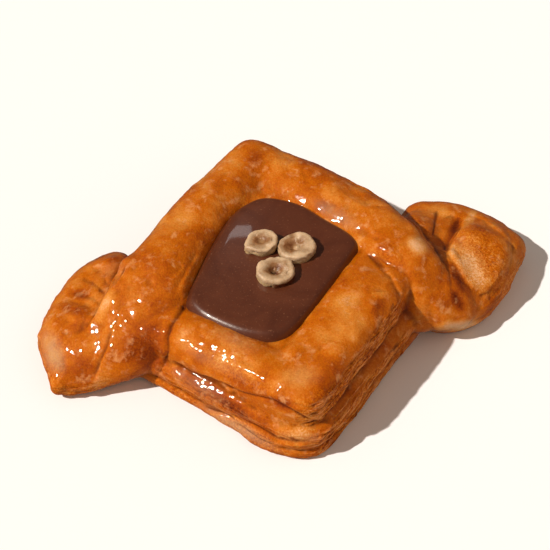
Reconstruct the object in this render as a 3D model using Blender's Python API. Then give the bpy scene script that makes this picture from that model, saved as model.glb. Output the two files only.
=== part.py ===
"""A glazed danish pastry with a chocolate centre and three hazelnut halves.

The dough is one square sheet. Two L-shaped strips were cut along its edges, left joined to it at two
opposite corners, and each was carried across to the far side. So one strip makes the back two sides
of the frame and the other the front two. They cross beside two twisted ears, and the strip of the
back lies on top at both crossings.

X runs from the left ear to the right ear, Y from the front corner to the back corner, and Z up from
the face that the pastry rests on. The constants are in millimetres and degrees.
"""

import math

import bmesh
import bpy
from mathutils import Matrix, Vector

MM = 0.001

# ---- the square and its strips --------------------------------------------------------------------
# A place on a side of the square is given in the side's own axes: how far along it from its middle,
# towards the ear where its strip ends, and how far out from the centre of the square.
SIDES = {  # the way out and the way along, as angles from X
    "back_left": (135.0, 225.0),
    "back_right": (45.0, -45.0),
    "front_left": (225.0, 135.0),
    "front_right": (-45.0, 45.0),
}
BASE_OUT = {"back_left": 43.0, "back_right": 40.0, "front_left": 52.2, "front_right": 43.2}
BASE_CORNER = 13.0  # radius of the base's corners
BASE_LEVELS = (  # height, and how far the side is set in there; the dip is the edge of the bottom sheet
    (-1.0, 3.5), (0.6, 1.6), (2.2, 0.9), (4.2, 1.1), (5.4, 2.6), (6.6, 1.2), (9.5, 0.5), (12.5, 1.4),
    (15.0, 4.5), (16.0, 8.0),
)

# Stations of a roll of dough: along, out, height of its middle, half its width, half its height, and
# how far the side on the right of the walk is turned down.
STRIPS = {
    "back_left": (
        (-32.0, 34.8, 19.2, 9.8, 9.0, -6.0), (-14.0, 34.9, 20.0, 10.5, 9.2, 0.0),
        (7.0, 34.4, 21.0, 10.8, 9.6, 0.0), (24.0, 31.6, 21.9, 12.0, 9.9, 0.0),
        (34.0, 30.2, 19.8, 13.8, 9.4, -4.0),
        (42.0, 30.0, 16.2, 14.0, 9.2, -10.0), (50.0, 31.2, 11.8, 12.4, 8.6, -12.0),
        (57.0, 35.0, 9.0, 9.6, 7.4, -8.0), (63.0, 38.0, 6.8, 7.4, 6.2, 0.0),
        (67.0, 40.0, 5.2, 5.2, 4.8, 0.0),
    ),
    "back_right": (
        (-33.5, 31.0, 19.0, 10.2, 8.9, 4.0), (-15.0, 30.4, 19.6, 10.9, 9.0, 6.0),
        (6.0, 28.9, 20.5, 11.2, 9.3, 12.0), (21.0, 24.4, 21.6, 10.6, 9.6, 6.0),
        (31.0, 21.2, 19.8, 9.6, 10.2, 0.0), (37.0, 18.6, 14.6, 9.2, 9.8, 0.0),
        (39.6, 17.2, 9.6, 8.4, 8.8, 0.0),
    ),
    "front_left": (
        (-29.0, 40.0, 19.4, 9.0, 8.0, -14.0), (-10.0, 40.1, 19.2, 8.9, 8.0, -20.0),
        (10.0, 40.6, 19.0, 8.6, 7.9, -18.0), (27.0, 41.0, 15.4, 8.6, 7.8, 0.0),
        (43.0, 41.0, 11.0, 8.0, 7.0, 0.0), (54.0, 41.0, 9.0, 7.0, 5.6, 0.0),
    ),
    "front_right": (
        (-41.0, 28.6, 20.0, 10.6, 8.2, 0.0), (-20.0, 28.6, 20.6, 11.0, 8.6, 0.0),
        (0.0, 28.0, 20.6, 10.9, 8.6, 0.0), (18.0, 26.4, 17.6, 10.8, 8.2, 0.0),
        (35.0, 25.0, 13.0, 9.0, 7.4, 0.0), (48.0, 25.0, 10.0, 7.5, 6.0, 0.0),
    ),
}

# ---- the ears: plates of dough, and the lobes that lie on them, in x and y ------------------------
EAR_PLATES = {
    "left_ear": (
        (-81.2, -19.6), (-78.8, -22.8), (-70.0, -23.8), (-58.0, -22.0), (-46.0, -18.0), (-38.0, 4.0),
        (-46.0, 19.0), (-55.8, 26.0), (-66.2, 22.4), (-76.2, 11.2), (-82.9, -1.6), (-83.2, -5.6),
    ),
    "right_ear": (
        (82.0, 3.2), (78.6, 10.8), (69.6, 21.0), (57.8, 27.2), (46.0, 26.8), (38.0, 12.0), (36.0, -8.0),
        (43.0, -22.0), (57.0, -22.8), (68.5, -15.4), (77.4, -4.0),
    ),
}
EAR_LEVELS = ((-1.6, 4.6), (0.8, 1.8), (5.0, 0.2), (9.0, 0.0), (12.0, 1.6), (14.4, 5.0), (15.4, 9.0))
LOBES = {  # x, y, height of the middle, half the width, half the height, lean
    "left_upper": ((-61.0, 4.0, 11.0, 7.0, 8.0, 0.0), (-56.0, 14.0, 10.0, 7.0, 7.0, 0.0)),
    "left_lower": ((-66.5, -3.0, 10.0, 7.0, 8.5, 0.0), (-71.0, -8.0, 8.5, 8.0, 7.6, 0.0)),
    "right_upper": ((46.0, 6.0, 12.0, 7.0, 8.0, 0.0), (51.0, 14.6, 10.0, 7.2, 7.0, 0.0)),
    "right_lower": (
        (61.0, -8.0, 10.5, 10.0, 8.3, 0.0), (65.0, 1.0, 11.0, 10.6, 8.5, 0.0),
        (68.0, 6.0, 10.0, 8.5, 7.4, 0.0),
    ),
    "right_end": (
        (43.4, -11.0, 13.4, 7.0, 9.4, 0.0), (45.6, -16.0, 12.6, 8.0, 9.0, 0.0),
        (47.4, -18.8, 10.0, 7.8, 7.0, 0.0),
    ),
    "right_band": (
        (51.0, 1.0, 10.6, 6.0, 6.8, 0.0), (50.2, -6.0, 13.4, 6.6, 7.8, 0.0),
        (49.6, -11.0, 13.6, 7.0, 7.8, 0.0), (50.0, -16.0, 12.4, 7.2, 7.2, 0.0),
        (51.2, -20.0, 9.8, 6.4, 6.4, 0.0),
    ),
}
PRESS_FROM = 52.0  # the left ear gets flatter towards its corner, from here to there along the strip
PRESS_TO = 66.0
PRESS = 0.2

# ---- the chocolate and the nuts --------------------------------------------------------------------
POOL_OUTLINE = (  # where the chocolate meets the dough
    (-35.2, -10.7), (-33.6, -17.2), (-28.5, -23.0), (-20.5, -29.0), (-11.5, -32.0), (-4.5, -29.6),
    (3.5, -22.2), (12.5, -12.2), (21.2, -2.6), (23.4, 1.2), (21.2, 6.2), (15.0, 13.6),
    (8.0, 21.8), (-1.8, 26.8), (-9.0, 25.6), (-16.0, 20.4), (-24.3, 9.2), (-30.2, -0.6),
)
POOL_FLOOR = 18.0
# The dough closes in round the chocolate.
BED_LEVELS = ((14.0, -4.0), (22.6, -4.0), (24.0, -2.4), (24.5, -0.8))
POOL_TOP = 27.4  # at the middle
POOL_RIM = 26.8  # where the top starts to curve down to the dough
POOL_LEVELS = ((POOL_FLOOR, 3.0), (20.0, 0.8), (24.4, 0.0), (25.5, 0.5), (26.3, 1.5), (POOL_RIM, 2.8))
POOL_DOME = (0.75, 0.5, 0.25)  # the rings across the top, as fractions of the outline

NUT_RADIUS = 5.5
NUT_SQUASH = 0.95  # height of a nut against its radius
NUT_DEPTH = 0.87  # from front to back, as a share of the width
NUT_FACE = 30.7  # height of the cut faces
NUT_HOLLOW = 2.2
NUT_HOLLOW_DEPTH = 1.3
NUTS = (  # x, y, size, way the point looks, how pointed, tilt of the cut face
    (-8.4, 4.4, 0.99, 192.0, 0.40, 4.0),
    (2.3, 0.0, 1.13, 70.0, 0.10, -3.0),
    (-6.2, -8.4, 1.13, 310.0, 0.10, 3.0),
)

# ---- how finely things are modelled --------------------------------------------------------------
GAP = 0.3  # clearance between separate pieces
ROLL_SIDES = 20
ROLL_STEP = 5.0
ROUND_SECTION = 2.2  # 2 makes the section of a roll an ellipse, more makes it squarer
SECTIONS = {"front_right": 3.3, "right_lower": 3.0, "right_end": 2.8}
END_ANGLES = (30.0, 60.0, 80.0)  # the rings that round off the end of a roll
SLAB_POINTS = 72
NUT_SEGMENTS = 24
SHARP_ANGLE = 40.0
TABLE_SIZE = 200.0  # of the block that cuts everything flat underneath

COLLECTION = "danish_pastry"
FINISHES = {  # colour, roughness
    "crust": ((0.50, 0.165, 0.030, 1.0), 0.3),
    "chocolate": ((0.070, 0.022, 0.014, 1.0), 0.2),
    "nut": ((0.62, 0.42, 0.24, 1.0), 0.55),
}


# ---- curves --------------------------------------------------------------------------------------
def spline_point(a, b, c, d, t):
    """One point of the smooth curve from b to c, for lists of numbers."""
    return [
        0.5 * (2 * q + (r - p) * t + (2 * p - 5 * q + 4 * r - s) * t * t + (3 * q - p - 3 * r + s) * t ** 3)
        for p, q, r, s in zip(a, b, c, d)
    ]


def smooth_line(stations, step):
    """The stations and points between them, about step apart, on a smooth curve."""
    ends = [stations[0], *stations, stations[-1]]
    line = []
    for i in range(1, len(ends) - 2):
        length = (Vector(ends[i + 1][:3]) - Vector(ends[i][:3])).length
        count = max(1, round(length / step))
        line += [spline_point(*ends[i - 1:i + 3], k / count) for k in range(count)]
    return line + [list(stations[-1])]


def smooth_outline(corners, count):
    """A closed smooth curve through the corners, as count points."""
    n = len(corners)
    outline = []
    for k in range(count):
        place = k * n / count
        i = int(place)
        around = [corners[(i + j) % n] for j in (-1, 0, 1, 2)]
        outline.append(Vector(spline_point(*around, place - i)))
    return outline


def base_outline(count):
    """The square with round corners, turned by 45 degrees, as count points."""
    out = [BASE_OUT[side] for side in ("back_right", "back_left", "front_left", "front_right")]
    quarter = count // 4
    outline = []
    for i in range(4):
        first = Vector((1.0, 0.0))
        first.rotate(Matrix.Rotation(math.radians(45.0 + 90.0 * i), 2))
        second = Vector((-first.y, first.x))
        corner = first * (out[i] - BASE_CORNER) + second * (out[(i + 1) % 4] - BASE_CORNER)
        following = second * (out[(i + 1) % 4] - BASE_CORNER) - first * (out[(i + 2) % 4] - BASE_CORNER)
        half = quarter // 2
        for k in range(half):
            turn = math.radians(90.0 * k / (half - 1))
            outline.append(corner + (first * math.cos(turn) + second * math.sin(turn)) * BASE_CORNER)
        for k in range(quarter - half):
            share = (k + 1) / (quarter - half + 1)
            outline.append(corner.lerp(following, share) + second * BASE_CORNER)
    return outline


def inset(outline, distance):
    """A closed outline with every point moved towards its middle."""
    middle = sum(outline, Vector((0.0, 0.0))) / len(outline)
    return [point + (middle - point).normalized() * distance for point in outline]


def signed_power(value, power):
    return math.copysign(abs(value) ** power, value)


def place_on_side(side, along, out):
    """Where a place on a side of the square lies, in x and y."""
    out_turn, along_turn = (math.radians(angle) for angle in SIDES[side])
    return (
        out * math.cos(out_turn) + along * math.cos(along_turn),
        out * math.sin(out_turn) + along * math.sin(along_turn),
    )


# ---- making meshes -------------------------------------------------------------------------------
def new_object(name, mesh_data, collection):
    """An object in a collection, from a bmesh in millimetres."""
    mesh_data.transform(Matrix.Scale(MM, 4))
    bmesh.ops.recalc_face_normals(mesh_data, faces=mesh_data.faces)
    mesh = bpy.data.meshes.new(name)
    mesh_data.to_mesh(mesh)
    mesh_data.free()
    mesh.shade_smooth()
    mesh.set_sharp_from_angle(angle=math.radians(SHARP_ANGLE))
    body = bpy.data.objects.new(name, mesh)
    collection.objects.link(body)
    return body


def pressed(point):
    """The point, lower where it lies in the corner of the left ear."""
    along = -(point[0] + point[1]) / math.sqrt(2)
    share = min(1.0, max(0.0, (along - PRESS_FROM) / (PRESS_TO - PRESS_FROM)))
    return Vector((point[0], point[1], point[2] * (1 - PRESS * share * share * (3 - 2 * share))))


def loft(rings):
    """A closed bmesh through rings of points, all with the same number of points."""
    mesh_data = bmesh.new()
    loops = [[mesh_data.verts.new(pressed(point)) for point in ring] for ring in rings]
    n = len(loops[0])
    for low, high in zip(loops, loops[1:]):
        for i in range(n):
            mesh_data.faces.new((low[i], low[(i + 1) % n], high[(i + 1) % n], high[i]))
    mesh_data.faces.new(reversed(loops[0]))
    mesh_data.faces.new(loops[-1])
    return mesh_data


def slab(name, outline, levels, collection):
    """A slab with the outline, set in by the second number of each level at its height."""
    rings = [[(*point, height) for point in inset(outline, distance)] for height, distance in levels]
    return new_object(name, loft(rings), collection)


def roll_ring(centre, ahead, half_width, half_height, lean, squareness):
    level = ahead.cross(Vector((0.0, 0.0, 1.0))).normalized()
    leaning = Matrix.Rotation(math.radians(lean), 3, ahead)
    across = leaning @ level
    upward = leaning @ level.cross(ahead)
    ring = []
    for i in range(ROLL_SIDES):
        turn = 2 * math.pi * i / ROLL_SIDES
        sideways = signed_power(math.cos(turn), 2 / squareness) * half_width
        lift = signed_power(math.sin(turn), 2 / squareness) * half_height
        ring.append(centre + across * sideways + upward * lift)
    return ring


def roll(name, stations, squareness, collection):
    """A soft roll of dough through the stations, round at both ends."""
    line = smooth_line(stations, ROLL_STEP)
    centres = [Vector(point[:3]) for point in line]
    rings = []
    for i, (_, _, _, width, height, lean) in enumerate(line):
        ahead = (centres[min(i + 1, len(line) - 1)] - centres[max(i - 1, 0)]).normalized()
        rings.append(roll_ring(centres[i], ahead, width, height, lean, squareness))
        if i in (0, len(line) - 1):
            outwards = -ahead if i == 0 else ahead
            reach = min(width, height)
            cap = []
            for angle in END_ANGLES:
                turn = math.radians(angle)
                centre = centres[i] + outwards * reach * math.sin(turn)
                narrower = width * math.cos(turn), height * math.cos(turn)
                cap.append(roll_ring(centre, ahead, *narrower, lean, squareness))
            rings = cap[::-1] + rings if i == 0 else rings + cap
    return new_object(name, loft(rings), collection)


# ---- cutting and joining -------------------------------------------------------------------------
def apply_modifiers(body):
    graph = bpy.context.evaluated_depsgraph_get()
    mesh = bpy.data.meshes.new_from_object(body.evaluated_get(graph))
    body.modifiers.clear()
    body.data = mesh


def join_all(body, pieces):
    """The body united with every object of a collection, which is then emptied."""
    union = body.modifiers.new("join", "BOOLEAN")
    union.operation = "UNION"
    union.operand_type = "COLLECTION"
    union.collection = pieces
    apply_modifiers(body)
    for piece in list(pieces.objects):
        bpy.data.objects.remove(piece)


def keep_outer_skin(body):
    """Fills the sealed hollows that joining leaves: only the largest connected skin stays."""
    skin = bmesh.new()
    skin.from_mesh(body.data)
    waiting = set(skin.verts)
    islands = []
    while waiting:
        border = [waiting.pop()]
        island = set(border)
        while border:
            for edge in border.pop().link_edges:
                for vert in edge.verts:
                    if vert in waiting:
                        waiting.remove(vert)
                        island.add(vert)
                        border.append(vert)
        islands.append(island)
    largest = max(islands, key=len)
    bmesh.ops.delete(skin, geom=[vert for vert in skin.verts if vert not in largest], context="VERTS")
    skin.to_mesh(body.data)
    skin.free()


def cut(body, cutter):
    difference = body.modifiers.new("cut_" + cutter.name, "BOOLEAN")
    difference.operation = "DIFFERENCE"
    difference.object = cutter
    cutter.hide_render = True
    cutter.display_type = "WIRE"


def paint(body, finish):
    colour, roughness = FINISHES[finish]
    material = bpy.data.materials.get(finish) or bpy.data.materials.new(finish)
    material.use_nodes = True
    shader = material.node_tree.nodes["Principled BSDF"]
    shader.inputs["Base Color"].default_value = colour
    shader.inputs["Roughness"].default_value = roughness
    body.data.materials.clear()
    body.data.materials.append(material)


# ---- the pieces ----------------------------------------------------------------------------------
def pool_solid(name, grow, collection):
    """The chocolate, or with a positive grow the pocket that it needs."""
    outline = smooth_outline(POOL_OUTLINE, SLAB_POINTS)
    levels = [(height, distance - grow) for height, distance in POOL_LEVELS]
    rings = []
    for height, distance in levels:
        level = height - grow if height == POOL_FLOOR else height + grow
        rings.append([Vector((*point, level)) for point in inset(outline, distance)])
    rim = rings[-1]
    middle = sum(rim, Vector()) / len(rim)
    for share in POOL_DOME:
        rise = (POOL_TOP - POOL_RIM) * (1 - share ** 2)
        rings.append([middle + (point - middle) * share + Vector((0, 0, rise)) for point in rim])
    return new_object(name, loft(rings), collection)


def make_pastry(pieces, cutters, collection):
    for side, stations in STRIPS.items():
        path = [(*place_on_side(side, along, out), *rest) for along, out, *rest in stations]
        roll("strip_" + side, path, SECTIONS.get(side, ROUND_SECTION), pieces)
    for name, corners in EAR_PLATES.items():
        slab(name, smooth_outline(corners, SLAB_POINTS), EAR_LEVELS, pieces)
    for name, stations in LOBES.items():
        roll("lobe_" + name, stations, SECTIONS.get(name, ROUND_SECTION), pieces)
    slab("bed", smooth_outline(POOL_OUTLINE, SLAB_POINTS), BED_LEVELS, pieces)
    pastry = slab("pastry", base_outline(SLAB_POINTS), BASE_LEVELS, collection)
    join_all(pastry, pieces)
    table = bmesh.new()
    bmesh.ops.create_cube(table, size=TABLE_SIZE, matrix=Matrix.Translation((0.0, 0.0, -TABLE_SIZE / 2)))
    cut(pastry, new_object("table", table, cutters))
    cut(pastry, pool_solid("pocket", GAP, cutters))
    apply_modifiers(pastry)
    keep_outer_skin(pastry)
    paint(pastry, "crust")
    return pastry


def nut_body(name, number, grow, collection):
    """Half a hazelnut with its flat face up, before the hollow is cut."""
    x, y, size, point_way, pointed, tilt = NUTS[number]
    radius = NUT_RADIUS * size + grow
    body = bmesh.new()
    bmesh.ops.create_uvsphere(body, u_segments=NUT_SEGMENTS, v_segments=NUT_SEGMENTS // 2, radius=radius)
    for vert in body.verts:
        drawn = max(0.0, vert.co.x / radius)
        vert.co.y *= 1.0 - pointed * drawn ** 2
        vert.co.x *= 1.0 + pointed / 4 * drawn
        vert.co.z *= NUT_SQUASH
    everything = [*body.verts, *body.edges, *body.faces]
    face = bmesh.ops.bisect_plane(
        body, geom=everything, plane_co=(0, 0, grow), plane_no=(0, 0, 1), clear_outer=True)
    rim = [item for item in face["geom_cut"] if isinstance(item, bmesh.types.BMEdge)]
    bmesh.ops.edgeloop_fill(body, edges=rim)
    turn = Matrix.Rotation(math.radians(point_way), 4, "Z") @ Matrix.Rotation(math.radians(tilt), 4, "Y")
    shallower = Matrix.Diagonal((1.0, NUT_DEPTH, 1.0, 1.0))
    body.transform(Matrix.Translation((x, y, NUT_FACE)) @ shallower @ turn)
    return new_object(name, body, collection)


def make_nut(number, cutters, collection):
    x, y, *_ = NUTS[number]
    nut = nut_body(f"hazelnut_{number + 1}", number, 0.0, collection)
    hollow = bmesh.new()
    lift = (NUT_HOLLOW ** 2 - NUT_HOLLOW_DEPTH ** 2) / (2 * NUT_HOLLOW_DEPTH)
    bmesh.ops.create_uvsphere(
        hollow, u_segments=12, v_segments=8, radius=NUT_HOLLOW_DEPTH + lift,
        matrix=Matrix.Translation((x, y, NUT_FACE + lift)))
    cut(nut, new_object(f"hollow_{number + 1}", hollow, cutters))
    paint(nut, "nut")
    return nut


def stand_on_origin(collection):
    """Moves everything so that the middle of its box is over the origin."""
    bodies = collection.objects
    corners = [body.matrix_world @ Vector(corner) for body in bodies for corner in body.bound_box]
    middle = Vector()
    for axis in (0, 1):
        places = [corner[axis] for corner in corners]
        middle[axis] = (min(places) + max(places)) / 2
    for body in bpy.data.objects:
        body.location -= middle


def make_chocolate(cutters, collection):
    chocolate = pool_solid("chocolate", 0.0, collection)
    for number in range(len(NUTS)):
        cut(chocolate, nut_body(f"dimple_{number + 1}", number, GAP, cutters))
    paint(chocolate, "chocolate")
    return chocolate


def main():
    for thing in list(bpy.data.objects):
        bpy.data.objects.remove(thing)
    groups = {name: bpy.data.collections.new(name) for name in (COLLECTION, "cutters", "pieces")}
    for group in groups.values():
        bpy.context.scene.collection.children.link(group)
    cutters = groups["cutters"]
    shown = groups[COLLECTION]
    make_pastry(groups["pieces"], cutters, shown)
    make_chocolate(cutters, shown)
    for number in range(len(NUTS)):
        make_nut(number, cutters, shown)
    bpy.data.collections.remove(groups["pieces"])
    stand_on_origin(shown)


main()
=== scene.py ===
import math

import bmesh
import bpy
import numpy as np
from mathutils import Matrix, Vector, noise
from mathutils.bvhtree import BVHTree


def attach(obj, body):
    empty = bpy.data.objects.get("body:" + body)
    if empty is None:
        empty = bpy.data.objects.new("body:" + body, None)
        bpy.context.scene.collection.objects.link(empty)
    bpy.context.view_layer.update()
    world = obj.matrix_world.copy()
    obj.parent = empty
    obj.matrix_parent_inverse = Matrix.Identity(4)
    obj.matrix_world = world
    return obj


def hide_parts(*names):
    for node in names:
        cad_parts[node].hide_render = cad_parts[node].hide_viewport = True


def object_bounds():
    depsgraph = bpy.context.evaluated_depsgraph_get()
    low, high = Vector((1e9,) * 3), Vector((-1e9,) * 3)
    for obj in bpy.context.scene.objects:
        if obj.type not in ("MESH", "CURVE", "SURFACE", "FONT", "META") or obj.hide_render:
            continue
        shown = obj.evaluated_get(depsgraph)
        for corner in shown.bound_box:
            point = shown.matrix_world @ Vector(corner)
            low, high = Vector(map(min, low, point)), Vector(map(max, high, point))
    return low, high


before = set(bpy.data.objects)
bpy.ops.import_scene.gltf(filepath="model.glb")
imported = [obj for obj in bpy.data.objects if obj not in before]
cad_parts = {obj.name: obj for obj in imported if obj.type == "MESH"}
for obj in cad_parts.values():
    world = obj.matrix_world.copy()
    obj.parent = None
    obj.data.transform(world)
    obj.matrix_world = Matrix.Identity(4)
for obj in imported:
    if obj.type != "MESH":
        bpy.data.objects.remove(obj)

# %% [markdown]
# # A glazed danish pastry
#
# The real thing is one square of laminated dough. Two L-shaped strips are cut along its border, left
# joined at two opposite corners, and carried across to the far sides. They frame a diamond window and
# twist into two ears. The window holds chocolate cream with three halved hazelnuts.
#
# The baked dough is one skin, so it is modelled as one: soft rolls and slabs are laid where the strips,
# the base and the ears are, melted into a single skin, and then sculpted with creases, lobes and
# blisters. Chocolate and nuts are pieces of their own.

MM = 0.001  # the lengths below are in millimetres
cad_box = [list(corner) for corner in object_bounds()]
print("solid model's box, mm:", [[round(v / MM, 1) for v in corner] for corner in cad_box])

# %% [markdown]
# ## The camera
#
# The photograph looks down on the pastry at about 50 degrees, from a little left of its front corner,
# through a long lens. The camera comes first, because folds that show in the photograph are easiest to
# place by the pixel where they show.

# %% Camera
PICTURE = 550  # width and height of the picture, in pixels
LENS = 111.0
SENSOR = 36.0
LOOK_AT = Vector((-2.863, 8.018, 10.8))
LOOK_TURN = math.radians(11.5)
LOOK_RISE = math.radians(50.0)
LOOK_DISTANCE = 558.0
NEAREST, FARTHEST = 0.01, 10.0  # what the camera can show, in metres

UP = Vector((0.0, 0.0, 1.0))
look_right = Vector((math.cos(LOOK_TURN), -math.sin(LOOK_TURN), 0.0))
look_level = Vector((math.sin(LOOK_TURN), math.cos(LOOK_TURN), 0.0))
look_ahead = look_level * math.cos(LOOK_RISE) - UP * math.sin(LOOK_RISE)
look_up = look_level * math.sin(LOOK_RISE) + UP * math.cos(LOOK_RISE)
eye = LOOK_AT - look_ahead * LOOK_DISTANCE

camera = bpy.data.objects.new("camera", bpy.data.cameras.new("camera"))
camera.data.lens = LENS
camera.data.sensor_width = SENSOR
camera.data.clip_start, camera.data.clip_end = NEAREST, FARTHEST
turn = Matrix((look_right, look_up, -look_ahead)).transposed().to_4x4()
camera.matrix_world = Matrix.Translation(eye * MM) @ turn
bpy.context.scene.collection.objects.link(camera)
bpy.context.scene.camera = camera
print("camera at, mm:", [round(v, 1) for v in eye])


def on_picture(places):
    """The pixels at which places, in mm, show in the photograph."""
    away = places - np.array(eye)
    depth = away @ np.array(look_ahead)
    pixels_per_unit = LENS / SENSOR * PICTURE
    across = PICTURE / 2 + pixels_per_unit * (away @ np.array(look_right)) / depth
    down = PICTURE / 2 - pixels_per_unit * (away @ np.array(look_up)) / depth
    return np.stack((across, down), axis=1)


MM_PER_PIXEL = LOOK_DISTANCE * SENSOR / (LENS * PICTURE)
print("one pixel is", round(MM_PER_PIXEL, 3), "mm")

# %% [markdown]
# ## Where the strips lie
#
# A baker thinks of the sides of the square, so each strip is laid out in the axes of its own side: how
# far along it from its middle, towards the ear where the strip ends, and how far out from the centre.
# A station also says how high the middle of the roll is, and half its width and height there.

# %% The square and its four strips
SIDES = {  # the way out and the way along, as angles from X
    "back_left": (135, 225), "back_right": (45, -45), "front_left": (225, 135), "front_right": (-45, 45),
}
CENTRE = Vector((0.797, 2.568))  # of the square, in plan

STRIPS = {  # the last number is how far the side on the right of the walk is turned down, in degrees
    "back_left": (
        (-32, 34.8, 19.2, 9.8, 9, -6), (-14, 34.9, 20, 10.5, 9.2, 0), (7, 34.4, 21, 10.8, 9.6, 0),
        (24, 31.6, 21.9, 12, 9.9, 0), (34, 30.2, 19.8, 13.8, 9.4, -4), (42, 30, 16.2, 14, 9.2, -10),
        (50, 31.2, 11.8, 12.4, 8.6, -12), (57, 35, 9, 9.6, 7.4, -8), (63, 38, 6.8, 7.4, 6.2, 0),
        (67, 40, 5.2, 5.2, 4.8, 0),
    ),
    "back_right": (
        (-33.5, 31, 19, 10.2, 8.9, 4), (-15, 30.4, 19.6, 10.9, 9, 6), (6, 28.9, 20.5, 11.2, 9.3, 12),
        (21, 24.4, 21.6, 10.6, 9.6, 6), (31, 21.2, 19.8, 9.6, 10.2, 0), (37, 18.6, 14.6, 9.2, 9.8, 0),
        (39.6, 17.2, 9.6, 8.4, 8.8, 0),
    ),
    "front_left": (
        (-29, 40, 19.4, 9, 8, -14), (-10, 40.1, 19.2, 8.9, 8, -20), (10, 40.6, 19, 8.6, 7.9, -18),
        (27, 41, 15.4, 8.6, 7.8, 0), (43, 41, 11, 8, 7, 0), (54, 41, 9, 7, 5.6, 0),
    ),
    "front_right": (
        (-41, 28.6, 20, 10.6, 8.2, 0), (-20, 28.6, 20.6, 11, 8.6, 0), (0, 28, 20.6, 10.9, 8.6, 0),
        (18, 26.4, 17.6, 10.8, 8.2, 0), (35, 25, 13, 9, 7.4, 0), (48, 25, 10, 7.5, 6, 0),
    ),
}
print("stations:", {side: len(stations) for side, stations in STRIPS.items()})

# %% [markdown]
# ## The base
#
# Under the strips lies the square that they were cut from, risen to about 16 mm. Seen from above it is a
# square with round corners, and its side is set in where the bottom sheet of dough ends.

# %% Base
BASE_OUT = {"back_left": 43, "back_right": 40, "front_left": 52.2, "front_right": 43.2}  # of each side
BASE_CORNER = 13.0  # radius of its corners
BASE_LEVELS = (  # height, and how far the side is set in there; the dip is the edge of the bottom sheet
    (0, 2.4), (0.6, 1.6), (2.2, 0.9), (4.2, 1.1), (5.4, 2.6), (6.6, 1.2), (9.5, 0.5), (12.5, 1.4),
    (15, 4.5), (16, 8),
)
print("base, mm:", BASE_LEVELS[-1][0], "high")

# %% [markdown]
# ## The ears
#
# Where two strips cross, their joined corner sticks out as an ear. An ear is a plate with a drawn outline,
# and over it lie lobes, short rolls of dough that the twist has puffed up.

# %% Ears and lobes
EAR_PLATES = {
    "left_ear": (
        (-81.2, -19.6), (-78.8, -22.8), (-70, -23.8), (-58, -22), (-46, -18), (-38, 4), (-46, 19),
        (-55.8, 26), (-66.2, 22.4), (-76.2, 11.2), (-82.9, -1.6), (-83.2, -5.6),
    ),
    "right_ear": (
        (82, 3.2), (78.6, 10.8), (69.6, 21), (57.8, 27.2), (46, 26.8), (38, 12), (36, -8), (43, -22),
        (57, -22.8), (68.5, -15.4), (77.4, -4),
    ),
}
# of a plate: height, and how far the side is set in there
EAR_LEVELS = ((0, 2.6), (0.8, 1.8), (5, 0.2), (9, 0), (12, 1.6), (14.4, 5), (15.4, 9), (15.8, 14))
LOBES = {  # x, y, height of the middle, half the width, half the height
    "left_upper": ((-61, 4, 11, 7, 8), (-56, 14, 10, 7, 7)),
    "left_lower": ((-66.5, -3, 10, 7, 8.5), (-71, -8, 8.5, 8, 7.6)),
    "right_upper": ((46, 6, 12, 7, 8), (51, 14.6, 10, 7.2, 7)),
    "right_lower": ((61, -8, 10.5, 10, 8.3), (65, 1, 11, 10.6, 8.5), (68, 6, 10, 8.5, 7.4)),
    "right_end": ((43.4, -11, 13.4, 7, 9.4), (45.6, -16, 12.6, 8, 9), (47.4, -18.8, 10, 7.8, 7)),
    "right_band": (
        (51, 1, 10.6, 6, 6.8), (50.2, -6, 13.4, 6.6, 7.8), (49.6, -11, 13.6, 7, 7.8),
        (50, -16, 12.4, 7.2, 7.2), (51.2, -20, 9.8, 6.4, 6.4),
    ),
}
print("ears:", len(EAR_PLATES), "plates and", len(LOBES), "lobes")

# %% [markdown]
# ## The window
#
# The strips leave a diamond with round corners open. A bed of dough fills it from below, and the chocolate
# stands on that bed. Both follow the same outline.

# %% Window
POOL_OUTLINE = (  # where the chocolate meets the dough
    (-35.2, -10.7), (-33.6, -17.2), (-28.5, -23), (-20.5, -29), (-11.5, -32), (-4.5, -29.6), (3.5, -22.2),
    (12.5, -12.2), (21.2, -2.6), (23.4, 1.2), (21.2, 6.2), (15, 13.6), (8, 21.8), (-1.8, 26.8),
    (-9, 25.6), (-16, 20.4), (-24.3, 9.2), (-30.2, -0.6),
)
# the same for the bed, which reaches out under the dough where its number is below zero
BED_LEVELS = ((14, -4), (22.6, -4), (24, -2.4), (24.5, -0.8), (24.3, 0.6), (23, 2))
print("window:", len(POOL_OUTLINE), "points")

# %% [markdown]
# ## Smooth curves through a few points
#
# Dough has no corners, so everything above is given by a few stations. A Catmull-Rom spline passes through
# all of them and makes the points between, for paths, outlines and profiles alike.

# %% Smooth curves
SPLINE_STEPS = 16  # points between two corners of an outline, before they are spread evenly
CORNER_STEPS = 8  # and in a quarter turn of the base's


def spline_point(a, b, c, d, t):
    """One point of the smooth curve from b to c, for lists of numbers."""
    return [
        0.5 * (2 * q + (r - p) * t + (2 * p - 5 * q + 4 * r - s) * t * t + (3 * q - p - 3 * r + s) * t ** 3)
        for p, q, r, s in zip(a, b, c, d)
    ]


def smooth_line(stations, step):
    """The stations and points between them, about step apart, on a smooth curve."""
    ends = [stations[0], *stations, stations[-1]]
    line = []
    for i in range(1, len(ends) - 2):
        length = math.dist(ends[i + 1][:3], ends[i][:3])
        count = max(1, round(length / step))
        line += [spline_point(*ends[i - 1:i + 3], k / count) for k in range(count)]
    return line + [list(stations[-1])]


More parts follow.
